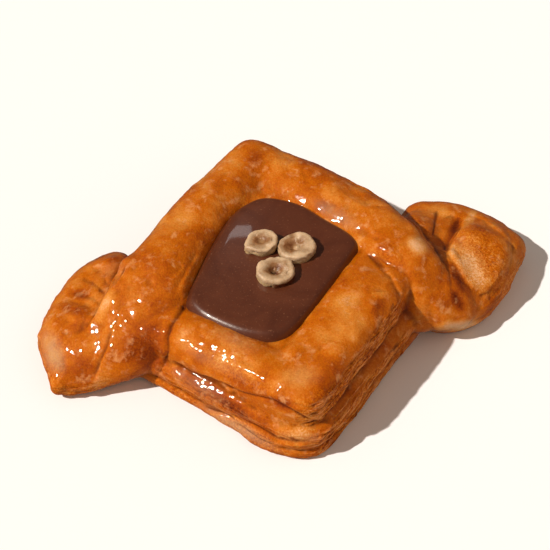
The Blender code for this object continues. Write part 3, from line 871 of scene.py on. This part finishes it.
# %% Glitter, dry and floury patches
SPARKLES = (  # where the glaze is wrinkled and glitters; below zero it is calmer than elsewhere
    (108, 308, 12, 34, 27, 1.6), (72, 349, 14, 20, 0, 0.8), (94, 327, 10, 14, 27, 1.6),
    (210, 390, 56, 11, 27, 1.3), (215, 347, 38, 9, 27, 1.3), (142, 292, 13, 30, 22, 0.8),
    (112, 276, 9, 9, 0, 1), (73, 308, 16, 8, 20, 1.4), (170, 350, 8, 14, 0, 1), (378, 238, 12, 10, 0, 1),
    (190, 379, 26, 11, 35, 0.8), (333, 213, 50, 14, 28, -0.3), (197, 341, 18, 10, 27, -0.6),
    (294, 358, 10, 26, 20, 1),
)
DRY_PATCHES = (  # where the top sheet is rubbed, flaky and without glaze
    (240, 374, 60, 12, 27, 0.5), (248, 432, 50, 9, 29, 1.1), (320, 398, 30, 16, -30, 0.5),
    (180, 392, 34, 7, 27, 0.5), (55, 372, 14, 22, -20, 0.4), (458, 222, 12, 12, 0, 0.4),
    (386, 257, 20, 12, 38, 0.45), (300, 434, 34, 10, 0, 0.5), (420, 225, 24, 10, 40, 0.3),
    (60, 345, 10, 20, -15, 0.3),
)
DUSTY_PATCHES = (  # dry, floury and less red
    (238, 427, 58, 8, 30, 0.9), (198, 386, 40, 10, 30, 0.35), (53, 352, 14, 30, -16, 0.9),
    (215, 362, 50, 10, 27, 0.35), (336, 214, 34, 10, 30, 0.6), (470, 262, 18, 34, -32, 0.32),
    (460, 326, 30, 7, -12, 0.6), (236, 341, 30, 12, 27, 0.3), (300, 437, 34, 7, 5, 0.4),
    (302, 376, 26, 14, 0, 0.25), (112, 270, 18, 10, -10, 0.25), (418, 246, 15, 11, 35, 0.4),
)
MATTE_BULGE = (482, 262, 29, 41, -32, 1.0)  # the right ear's bulge has no glaze
print("patches:", len(SPARKLES), "glitter,", len(DRY_PATCHES), "dry,", len(DUSTY_PATCHES), "floury")


# %% Attributes for the material
def attribute(mesh, name, values):
    """Stores one number for each point, under a name that a material can read."""
    layer = mesh.attributes.new(name, "FLOAT", "POINT")
    layer.data.foreach_set("value", values.astype(np.float32))


pixels, seen = view_of(skin, places, normals)
pale, dark, sparkle, rubbed, dusty = (
    sum(swelling(*patch) for patch in patches)
    for patches in (PALE_PATCHES, DARK_PATCHES, SPARKLES, DRY_PATCHES, DUSTY_PATCHES)
)
lines = sum(stroke(corners, (dark_by, 0.5), (dark_by, 0.5)) for corners, dark_by in DARK_LINES)
# painted shade: how deep each point lies in a hollow; the crust is darkened and reddened there
crease_shade = ((spread(places, ends, 12) - places) * normals).sum(axis=1)
browning_and_painted_light = 0.52 + 0.13 * wide + 0.10 * middling + 0.06 * fine - 0.12 * mounds
# browning, with painted light and painted shade from the patches
browning_and_painted_light = browning_and_painted_light - pale + dark
dry = 0.9 * layered + 0.9 * swelling(*MATTE_BULGE) ** 0.5 + rubbed
attribute(skin, "sparkle", sparkle)
fields = {"browning_and_painted_light": browning_and_painted_light, "dry": dry, "cut": layered, "dusty": dusty,
          "crease_shade": 0.5 + crease_shade * 1.6 + 0.5 * lines}
for name, field in fields.items():
    attribute(skin, name, np.clip(field, 0.0, 1.0))
skin.shade_smooth()
print("bake from", round(browning_and_painted_light.min(), 2), "to", round(browning_and_painted_light.max(), 2))

# %% [markdown]
# ## Colours and nodes
#
# Colours are written as hex values, as a picture editor shows them, and one function turns them to the
# linear values that Blender works in. One more function adds a node, sets it and links its inputs: an
# input that is given a node takes that node's first output.

# %% Two helpers for materials
def colour(hex_value):
    """An sRGB hex colour as linear red, green, blue and alpha."""
    parts = [int(hex_value[i:i + 2], 16) / 255 for i in (1, 3, 5)]
    return (*[p / 12.92 if p <= 0.04045 else ((p + 0.055) / 1.055) ** 2.4 for p in parts], 1.0)


def add_node(tree, kind, inputs=None, **settings):
    """Adds a node with its settings; each input gets a value, or a link from another node."""
    node = tree.nodes.new("ShaderNode" + kind)
    for name, value in settings.items():
        setattr(node, name, value)
    for name, value in (inputs or {}).items():
        if isinstance(value, bpy.types.Node):
            value = value.outputs[0]
        if isinstance(value, bpy.types.NodeSocket):
            tree.links.new(value, node.inputs[name])
        else:
            node.inputs[name].default_value = value
    return node


def new_material(name):
    """A material without nodes, and its node tree."""
    material = bpy.data.materials.new(name)
    material.use_nodes = True
    material.node_tree.nodes.clear()
    return material, material.node_tree


def set_ramp(node, stops):
    """Gives a colour ramp its stops, each a position and a hex colour."""
    ramp = node.color_ramp
    while len(ramp.elements) < len(stops):
        ramp.elements.new(0.5)
    for element, (position, hex_value) in zip(ramp.elements, stops):
        element.position = position
        element.color = colour(hex_value)


PER_MM = 1.0 / MM  # a noise of scale PER_MM / 5 has features about 5 mm across
FIRST_COLOUR, SECOND_COLOUR, MIXED_COLOUR = 6, 7, 2  # sockets of a Mix node, whose names aren't unique
print("noise scale for features of 5 mm:", round(PER_MM / 5))

# %% [markdown]
# ## Crust under sugar glaze
#
# Laminated dough browns by the sugar and milk in its egg wash: amber where the skin is thin, chestnut
# where it is thick. Light goes a millimetre or two into it, so it glows a little. Over it lies a clear
# syrup with an IOR of 1.45, smooth as glass but never flat, so a lamp shows in it as a chain of dots.

# %% Material: what varies over the crust
CRUST_NOISES = (  # size in mm, detail, roughness and distortion
    (6.0, 5.0, 0.6, 0.6),  # mottling
    (0.7, 3.0, 0.75, 0.0),  # specks
    (3.6, 3.0, 0.6, 0.2),  # flakes
    (0.6, 4.0, 0.6, 0.0),  # grain of dry dough
    (1.3, 3.0, 0.6, 0.0),  # its pits
    (2.2, 0.0, 0.6, 0.0),  # waves of the syrup
    (1.3, 0.0, 0.6, 0.0),  # its wrinkles
    (7.0, 2.0, 0.6, 0.0),  # where it lies thick
)
crust, tree = new_material("egg_washed_laminated_dough_with_sugar_glaze")
at = add_node(tree, "TexCoord").outputs["Object"]
browning_and_painted_light, dry, cut, painted_crease_shade, sparkle, dusty = (
    add_node(tree, "Attribute", attribute_name=name).outputs["Fac"]
    for name in ("browning_and_painted_light", "dry", "cut", "crease_shade", "sparkle", "dusty")
)
mottle, specks, puffs, grain, pits, waves, wrinkles, thickness = (
    add_node(tree, "TexNoise", {"Vector": at, "Scale": PER_MM / size, "Detail": detail,
                                "Roughness": roughness, "Distortion": distortion})
    for size, detail, roughness, distortion in CRUST_NOISES
)
# edges of layers are level streaks, so their noise is squashed
squash = add_node(tree, "Mapping", {"Vector": at, "Scale": (0.13, 0.13, 1.0)})
streaks = add_node(tree, "TexNoise", {"Vector": squash, "Scale": PER_MM / 0.8, "Detail": 3.0,
                                      "Roughness": 0.6, "Distortion": 0.4})
print("crust noises:", len(CRUST_NOISES))

# %% Browning
# what the attribute says, mottled and speckled, and paler where the dough is dry
BROWNING = ((0.02, "#DEA878"), (0.26, "#CE8332"), (0.50, "#B95F02"), (0.72, "#9A4400"), (0.95, "#621F00"))
speckled = add_node(tree, "Math", {0: dry, 1: 1.3, 2: 0.5}, operation="MULTIPLY_ADD")
level = add_node(tree, "Math", {0: browning_and_painted_light, 1: 0.45}, operation="SUBTRACT")
for value, amount in ((mottle, 0.40), (specks, speckled), (dry, -0.65)):
    level = add_node(tree, "Math", {0: value, 1: amount, 2: level}, operation="MULTIPLY_ADD")
tone = add_node(tree, "ValToRGB", {"Fac": level})
set_ramp(tone, BROWNING)
print("browning in", len(BROWNING), "tones")

# %% Flakes, flour, layers and creases
# from each of these values, the part between two limits, and what it is turned into
flaky, rubbed, floury, pale_edge, dark_edge, crease, gloss = (
    add_node(tree, "MapRange", {"Value": value, "From Min": start, "From Max": end,
                                "To Min": low, "To Max": high})
    for value, start, end, low, high in (
        (puffs, 0.53, 0.68, 0.0, 0.5), (mottle, 0.42, 0.56, 0.0, 1.0), (mottle, 0.3, 0.6, 0.35, 0.65),
        (streaks, 0.52, 0.62, 0.0, 0.65), (streaks, 0.46, 0.36, 0.0, 0.75),
        (painted_crease_shade, 0.5, 0.95, 0.0, 0.8), (thickness, 0.3, 0.5, 0.5, 1.0),
    )
)
for field, share, hex_value in (
    (flaky, rubbed, "#DFA268"),  # dry pale flakes, a few mm long, where the top sheet has puffed
    (floury, dusty, "#AE9474"),  # places that the glaze never reached
    (pale_edge, cut, "#D6935A"),
    (dark_edge, cut, "#4A1A02"),
    # painted shade in the creases, darker and redder
    (crease, 1.0, "#561C02"),  # darker and redder
):
    shown = add_node(tree, "Math", {0: field, 1: share}, operation="MULTIPLY")
    blend = {"Factor": shown, FIRST_COLOUR: tone, SECOND_COLOUR: colour(hex_value)}
    tone = add_node(tree, "Mix", blend, data_type="RGBA").outputs[MIXED_COLOUR]
print("tones laid over the browning, on", len(tree.nodes), "nodes so far")

# %% Pits and syrup
SYRUP_WAVES = 0.085  # mm

# the dry dough has pits and flakes
for value, place, depth in ((streaks, cut, 2.0), (pits, dry, 2.4)):
    depth_there = add_node(tree, "Math", {0: place, 1: depth}, operation="MULTIPLY")
    grain = add_node(tree, "Math", {0: value, 1: depth_there, 2: grain}, operation="MULTIPLY_ADD")
rough = add_node(tree, "Bump", {"Height": grain, "Strength": 0.7, "Distance": 0.35 * MM})

# over it the syrup lies in low waves, wrinkled where it glitters and calm where sparkle is below zero
calm = add_node(tree, "Math", {0: sparkle, 1: 1.0}, operation="ADD")
calm = add_node(tree, "Math", {0: calm, 1: 1.0}, operation="MINIMUM")
wild = add_node(tree, "Math", {0: sparkle, 1: 0.0}, operation="MAXIMUM")
waves = add_node(tree, "Math", {0: waves, 1: calm}, operation="MULTIPLY")
waves = add_node(tree, "Math", {0: wrinkles, 1: wild, 2: waves}, operation="MULTIPLY_ADD")
syrup = add_node(tree, "Bump", {"Height": waves, "Strength": 1.0, "Distance": SYRUP_WAVES * MM})
wet = add_node(tree, "Math", {0: 1.0, 1: dry}, operation="SUBTRACT")
coat = add_node(tree, "Math", {0: gloss, 1: wet}, operation="MULTIPLY")
print("syrup waves, mm:", SYRUP_WAVES)

# %% The crust, dressed
shader = add_node(tree, "BsdfPrincipled", {
    "Base Color": tone, "Roughness": 0.5, "IOR": 1.45, "Specular IOR Level": 0.06,
    "Subsurface Weight": 0.2, "Subsurface Radius": (1.0, 0.35, 0.1), "Subsurface Scale": 2.0 * MM,
    "Coat Weight": coat, "Coat Roughness": 0.045, "Coat IOR": 1.45,
    "Normal": rough, "Coat Normal": syrup,
})
add_node(tree, "OutputMaterial", {"Surface": shader})
skin.materials.append(crust)
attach(dough, "root")
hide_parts("pastry")
print("crust:", len(tree.nodes), "nodes")

# %% [markdown]
# ## The chocolate
#
# Chocolate and hazelnut cream is poured warm. It levels itself, domes a little in the middle, and its
# edge is round where it stops at the dough. Rings of the window's outline follow that edge, each a little
# higher than the last, and faint noise gives the level top its slow waves.

# %% Chocolate
POOL_POINTS = 240
POOL_RINGS = (  # height, and how far the edge is set in there
    (18, 1.2), (21, 0.2), (23.2, -0.5), (24, -0.35), (24.7, 0), (25.3, 0.35), (25.9, 0.8), (26.35, 1.2),
    (26.72, 1.65), (26.98, 2.2), (27.14, 2.9), (27.24, 3.8), (27.3, 5),
)
POOL_TOP = 27.4
INNER_RINGS = 56
WAVY_ABOVE, WAVE_SIZE, WAVE_HEIGHT = 25.0, 14.0, 0.06
pool_edge = [point + CENTRE for point in smooth_outline(POOL_OUTLINE, POOL_POINTS)]
pool_middle = sum(pool_edge, Vector((0.0, 0.0))) / len(pool_edge)
pool_rings = [
    [Vector((*point, height)) for point in inset(pool_edge, gap)] for height, gap in POOL_RINGS
]
last_ring = pool_rings[-1]
for k in range(1, INNER_RINGS):
    share = k / INNER_RINGS
    height = POOL_TOP - (POOL_TOP - POOL_RINGS[-1][0]) * (1 - share) ** 2
    centre = Vector((*pool_middle, height))
    ring = [point.lerp(centre, share) for point in last_ring]
    for point in ring:
        point.z = height
    pool_rings.append(ring)
pool = bmesh.new()
loft(pool, pool_rings)
for vert in pool.verts:
    if vert.co.z > WAVY_ABOVE:
        vert.co.z += WAVE_HEIGHT * noise.noise(vert.co / WAVE_SIZE)
pool_mesh = to_mesh("chocolate_cream", pool)
pool_mesh.shade_smooth()
chocolate = new_piece("chocolate_cream", pool_mesh)
print("chocolate:", len(pool_mesh.polygons), "faces")


# %% [markdown]
# ## What the chocolate is made of
#
# Chocolate and hazelnut cream is fat, cocoa and sugar: dark brown, smooth, with the soft shine of fat at
# an IOR of 1.47. Slow swirls come from the stirring, and a few pale specks are ground nut.

# %% Material: chocolate cream
def chocolate_cream():
    material, tree = new_material("chocolate_and_hazelnut_cream")
    at = add_node(tree, "TexCoord").outputs["Object"]
    swirl = add_node(tree, "TexNoise",
                     {"Vector": at, "Scale": PER_MM / 14.0, "Detail": 3.0, "Distortion": 1.2})
    specks = add_node(tree, "TexNoise", {"Vector": at, "Scale": PER_MM / 0.7, "Detail": 2.0})
    tone = add_node(tree, "ValToRGB", {"Fac": swirl})
    set_ramp(tone, ((0.30, "#4B2313"), (0.70, "#5A2E1B")))
    bump = add_node(tree, "Bump", {"Height": specks, "Strength": 0.3, "Distance": 0.12 * MM})
    ground = add_node(tree, "MapRange",
                      {"Value": specks, "From Min": 0.64, "From Max": 0.72, "To Max": 0.4})
    blend = {"Factor": ground, FIRST_COLOUR: tone, SECOND_COLOUR: colour("#8C5E45")}
    speckled = add_node(tree, "Mix", blend, data_type="RGBA").outputs[MIXED_COLOUR]
    shader = add_node(tree, "BsdfPrincipled", {
        "Base Color": speckled, "Roughness": 0.34, "IOR": 1.47, "Normal": bump,
        "Subsurface Weight": 0.05, "Subsurface Radius": (1.0, 0.5, 0.3), "Subsurface Scale": 0.8 * MM,
        "Coat Weight": 0.6, "Coat Roughness": 0.05, "Coat IOR": 1.45,
    })
    add_node(tree, "OutputMaterial", {"Surface": shader})
    return material


pool_mesh.materials.append(chocolate_cream())
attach(chocolate, "root")
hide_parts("chocolate")
print("chocolate rides on root")

# %% [markdown]
# ## The hazelnut halves
#
# A blanched hazelnut splits in two. Each half is a bowl: a pale rim, a hollow with a browner wall where
# the halves lay together, and a round back, of which a little shows. The profile is spun into a solid,
# then one end is drawn out, as the kernel comes to a point, and noise roughens it.

# %% Hazelnuts
NUT_PROFILE = (  # radius, height over the cut face
    (0, -1.3), (0.5, -1.24), (1, -1.02), (1.6, -0.66), (2.2, -0.36), (3, -0.14), (4, -0.03), (4.8, 0),
    (5.15, -0.1), (5.36, -0.38), (5.45, -0.9), (5.45, -2), (5.3, -3), (4.8, -4), (3.7, -4.9), (2, -5.35),
    (0, -5.45),
)
NUT_STEPS = 56
NUT_DEPTH = 0.87  # from front to back, as a share of the width
NUT_FACE = 30.7  # height of the middle of the cut faces
NUT_STEP = 0.3
FACE_ENDS, FACE_SOFTNESS = -3.4, 2.6  # mm: up to here there is only side, and it becomes face over so much
RIM_RADIUS, RIM_WIDTH, RIM_PALE = 4.9, 1.3, 0.22
KERNEL_MIDDLE = Vector((0.0, 0.0, -2.7))
NUTS = {  # x, y, size, way the point looks, how pointed, tilt of the cut face, and a seed for its roughness
    "hazelnut_1": (-8.4, 4.4, 0.99, 196, 0.5, 4, 1),
    "hazelnut_2": (2.3, 0, 1.13, 70, 0.1, -3, 2),
    "hazelnut_3": (-6.2, -8.4, 1.13, 310, 0.1, 3, 3),
}
BUMPS = {  # on a cut face, seen from above: x, y, reach, how much higher and how much browner
    "hazelnut_1": (
        (0, 0, 3.2, 0.45, 0.35), (3.4, 2.6, 2.6, 0.3, -0.2), (-3, -2.2, 1.8, 0.15, 0),
        (0.8, -3.8, 2.2, -0.35, -0.1), (3.8, -2.6, 2, 0.25, -0.1),
    ),
    "hazelnut_2": (
        (0.1, -0.3, 1, 1.3, -0.5), (2.4, 3.2, 2.8, 0.6, -0.2), (4, -0.6, 2.4, 0.4, -0.1),
        (-2.4, 0.6, 3.8, -0.5, 0.35), (0.2, -4, 2.6, 0.35, -0.2), (-0.4, 4.6, 1.6, -0.7, 0.3),
        (1.6, 1.8, 1.4, -0.5, 0.2),
    ),
    "hazelnut_3": (
        (-0.4, 0.2, 2.8, -0.5, 0.5), (3.6, 1.2, 2.8, 0.6, 0), (0.9, -0.4, 0.6, 0.7, -0.4),
        (0, 0.9, 0.5, 0.5, -0.3), (-3.4, 2.4, 2.4, 0.3, -0.2), (-0.8, -0.4, 0.9, -0.4, 0.3),
    ),
}
SKINS = {"hazelnut_3": (-62.0, 55.0)}  # a rest of brown skin on the side: which way, and half how wide
print("stations of the half kernel:", len(NUT_PROFILE))


# %% Shaping one half
def make_nut(name):
    """One half kernel, with how deep and how brown each point is as attributes."""
    x, y, size, point_turn, pointed, tilt, seed = NUTS[name]
    half = bmesh.new()
    line = smooth_line([(radius, 0.0, height) for radius, height in NUT_PROFILE], NUT_STEP)
    verts = [half.verts.new(point) for point in line]
    edges = [half.edges.new(pair) for pair in zip(verts, verts[1:])]
    bmesh.ops.spin(half, geom=verts + edges, cent=(0, 0, 0), axis=(0, 0, 1), angle=2 * math.pi,
                   steps=NUT_STEPS, use_merge=True)
    bmesh.ops.remove_doubles(half, verts=half.verts, dist=0.01)
    browned, sides, skins = [], [], []
    skin_way, skin_width = SKINS.get(name, (0.0, 0.0))
    turn_back = Matrix.Rotation(-math.radians(point_turn), 4, "Z")
    bumps = [(turn_back @ Vector((bx, by, 0.0)), *rest) for bx, by, *rest in BUMPS[name]]
    for vert in half.verts:
        co = vert.co
        on_face = max(0.0, min(1.0, (co.z - FACE_ENDS) / FACE_SOFTNESS))
        from_rim = (math.hypot(co.x, co.y) - RIM_RADIUS) / RIM_WIDTH
        brown = -RIM_PALE * on_face * max(0.0, 1 - from_rim ** 2)
        for middle, reach, height, browner in bumps:
            near = min(1.0, math.hypot(co.x - middle.x, co.y - middle.y) / reach)
            co.z += height * (1 - near * near) ** 2 * on_face
            brown += browner * (1 - near * near) * on_face
        browned.append(brown)
        sides.append(1 - on_face)
        off = math.remainder(math.degrees(math.atan2(co.y, co.x)) + point_turn - skin_way, 360.0)
        skins.append(max(0.0, min(1.0, (skin_width - abs(off)) / 12.0, (-0.9 - co.z) / 0.5)))
        drawn = max(0.0, co.x / 5.5)
        co.y *= 1.0 - pointed * drawn ** 2
        co.x *= 1.0 + 0.25 * pointed * drawn
        grain = Vector((co.x, co.y, co.z)) + Vector((seed, seed, seed)) * 13.0
        rough = 0.34 * noise.noise(grain / 2.0) + 0.16 * noise.noise(grain / 0.7)
        rough -= 1.6 * max(0.0, noise.noise(grain / 1.5) - 0.22)  # chips
        co += (co - KERNEL_MIDDLE).normalized() * rough
    place = Matrix.Translation((x + CENTRE.x, y + CENTRE.y, NUT_FACE))
    place = place @ Matrix.Diagonal((1.0, NUT_DEPTH, 1.0, 1.0))
    place = place @ Matrix.Rotation(math.radians(point_turn), 4, "Z")
    place = place @ Matrix.Rotation(math.radians(tilt), 4, "Y")
    half.transform(place @ Matrix.Scale(size, 4))
    mesh = to_mesh(name + "_half", half)
    mesh.shade_smooth()
    for label, values in {"browned": browned, "side": sides, "skin": skins}.items():
        attribute(mesh, label, np.array(values))
    piece = new_piece(name + "_half", mesh)
    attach(piece, "root")
    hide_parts(name)
    return piece


nuts = {name: make_nut(name) for name in NUTS}
print("nuts:", {name: len(piece.data.polygons) for name, piece in nuts.items()})


# %% [markdown]
# ## What a blanched hazelnut is made of
#
# The kernel is fat and starch, creamy where it is cut and browner in the hollow, with a dull shine at an
# IOR of 1.47. Light goes a millimetre into it. A rest of the brown skin is left on one of them.

# %% Material: hazelnut
KERNEL_TONES = (
    (0.12, "#C4A888"), (0.34, "#A98B6C"), (0.58, "#8E6540"), (0.80, "#6C3F1C"), (1.0, "#46200A"),
)


def blanched_hazelnut():
    material, tree = new_material("blanched_hazelnut_kernel")
    at = add_node(tree, "TexCoord").outputs["Object"]
    browned, side, brown_skin = (
        add_node(tree, "Attribute", attribute_name=name).outputs["Fac"]
        for name in ("browned", "side", "skin")
    )
    cloud = add_node(tree, "TexNoise",
                     {"Vector": at, "Scale": PER_MM / 3.0, "Detail": 4.0, "Roughness": 0.6})
    level = add_node(tree, "Math", {0: cloud, 1: 0.8, 2: browned}, operation="MULTIPLY_ADD")
    tone = add_node(tree, "ValToRGB", {"Fac": level})
    set_ramp(tone, KERNEL_TONES)
    for share, hex_value in ((side, "#B89C6E"), (brown_skin, "#54260E")):
        blend = {"Factor": share, FIRST_COLOUR: tone, SECOND_COLOUR: colour(hex_value)}
        tone = add_node(tree, "Mix", blend, data_type="RGBA").outputs[MIXED_COLOUR]
    grain = add_node(tree, "TexNoise", {"Vector": at, "Scale": PER_MM / 0.5, "Detail": 3.0})
    bump = add_node(tree, "Bump", {"Height": grain, "Strength": 0.8, "Distance": 0.2 * MM})
    shader = add_node(tree, "BsdfPrincipled", {
        "Base Color": tone, "Roughness": 0.42, "IOR": 1.47, "Normal": bump,
        "Subsurface Weight": 0.2, "Subsurface Radius": (1.0, 0.7, 0.4), "Subsurface Scale": 1.2 * MM,
    })
    add_node(tree, "OutputMaterial", {"Surface": shader})
    return material


kernel = blanched_hazelnut()
for piece in nuts.values():
    piece.data.materials.append(kernel)
print("nut material on", len(nuts), "pieces")

# %% [markdown]
# ## Floor, lamps and colour
#
# A plain pale floor carries the pastry. One small warm lamp stands on the left, about 47 degrees up, and
# makes the sharp shadows and the dots in the glaze. The rest is soft light from all round.

# %% Floor
FLOOR_HALF = 3000.0
FLOOR_GAP = 0.05  # mm below the pastry
floor_data = bmesh.new()
bmesh.ops.create_grid(floor_data, x_segments=1, y_segments=1, size=FLOOR_HALF)
bmesh.ops.translate(floor_data, verts=floor_data.verts, vec=(0.0, 0.0, -FLOOR_GAP))
floor = new_piece("floor", to_mesh("floor", floor_data))
paper, paper_tree = new_material("matt_white_paper")
paper_shader = add_node(paper_tree, "BsdfPrincipled",
                        {"Base Color": colour("#EEF0F6"), "Roughness": 0.9, "Specular IOR Level": 0.1})
add_node(paper_tree, "OutputMaterial", {"Surface": paper_shader})
floor.data.materials.append(paper)
print("floor half width, mm:", FLOOR_HALF)

# %% Lamps
SUNS = {  # the way to it, power, colour, and how wide it looks in degrees
    "key": (KEY_TOWARDS, 4.2, "#FFF5E8", 1.4),
    "fill": (Vector((0.15, -0.35, 0.92)), 0.48, "#FFF0E0", 170.0),
    "bounce": (Vector((0.8, -0.5, 0.22)), 0.85, "#FFD9B0", 120.0),
}
for name, (towards, power, hex_value, width) in SUNS.items():
    lamp = bpy.data.lights.new(name, "SUN")
    lamp.energy = power
    lamp.color = colour(hex_value)[:3]
    lamp.angle = math.radians(width)
    holder = new_piece(name, lamp)
    holder.rotation_euler = towards.to_track_quat("Z", "Y").to_euler()
    holder.visible_glossy = name == "key"
floor.visible_glossy = False
print("key lamp", round(math.degrees(math.asin(KEY_TOWARDS.normalized().z))), "degrees up")

# %% A card that shows in the chocolate
CARD_SIZE = (13.0, 4.4)  # small and bright, and seen only as a pale patch in the chocolate
CARD_SHOWS_AT = Vector((-15.6, 15.0, 27.3))
CARD_DISTANCE = 70.0
CARD_RADIANCE = 4.2
card = bpy.data.lights.new("card", "AREA")
card.shape = "RECTANGLE"
card.size, card.size_y = (side * MM for side in CARD_SIZE)
card.energy = CARD_RADIANCE * math.pi * card.size * card.size_y
holder = new_piece("card", card)
# the way from the camera, thrown back up by the level chocolate
card_way = (CARD_SHOWS_AT - eye).normalized().reflect(UP)
card_turn = card_way.to_track_quat("Z", "Y").to_matrix().to_4x4()
holder.matrix_world = Matrix.Translation((CARD_SHOWS_AT + card_way * CARD_DISTANCE) * MM) @ card_turn
holder.visible_camera = False
glossy_pieces = bpy.data.collections.new("shows_the_card")
glossy_pieces.objects.link(chocolate)
holder.light_linking.receiver_collection = glossy_pieces
print("card, mm above the chocolate:", round(card_way.z * CARD_DISTANCE))

# %% Sky and colour
SKY_POWER = 0.08
world = bpy.data.worlds.new("studio")
world.use_nodes = True
sky = world.node_tree.nodes["Background"].inputs
sky["Color"].default_value = colour("#FFF3E6")
sky["Strength"].default_value = SKY_POWER
bpy.context.scene.world = world
bpy.context.scene.view_settings.view_transform = "Standard"
print("sky power:", SKY_POWER)
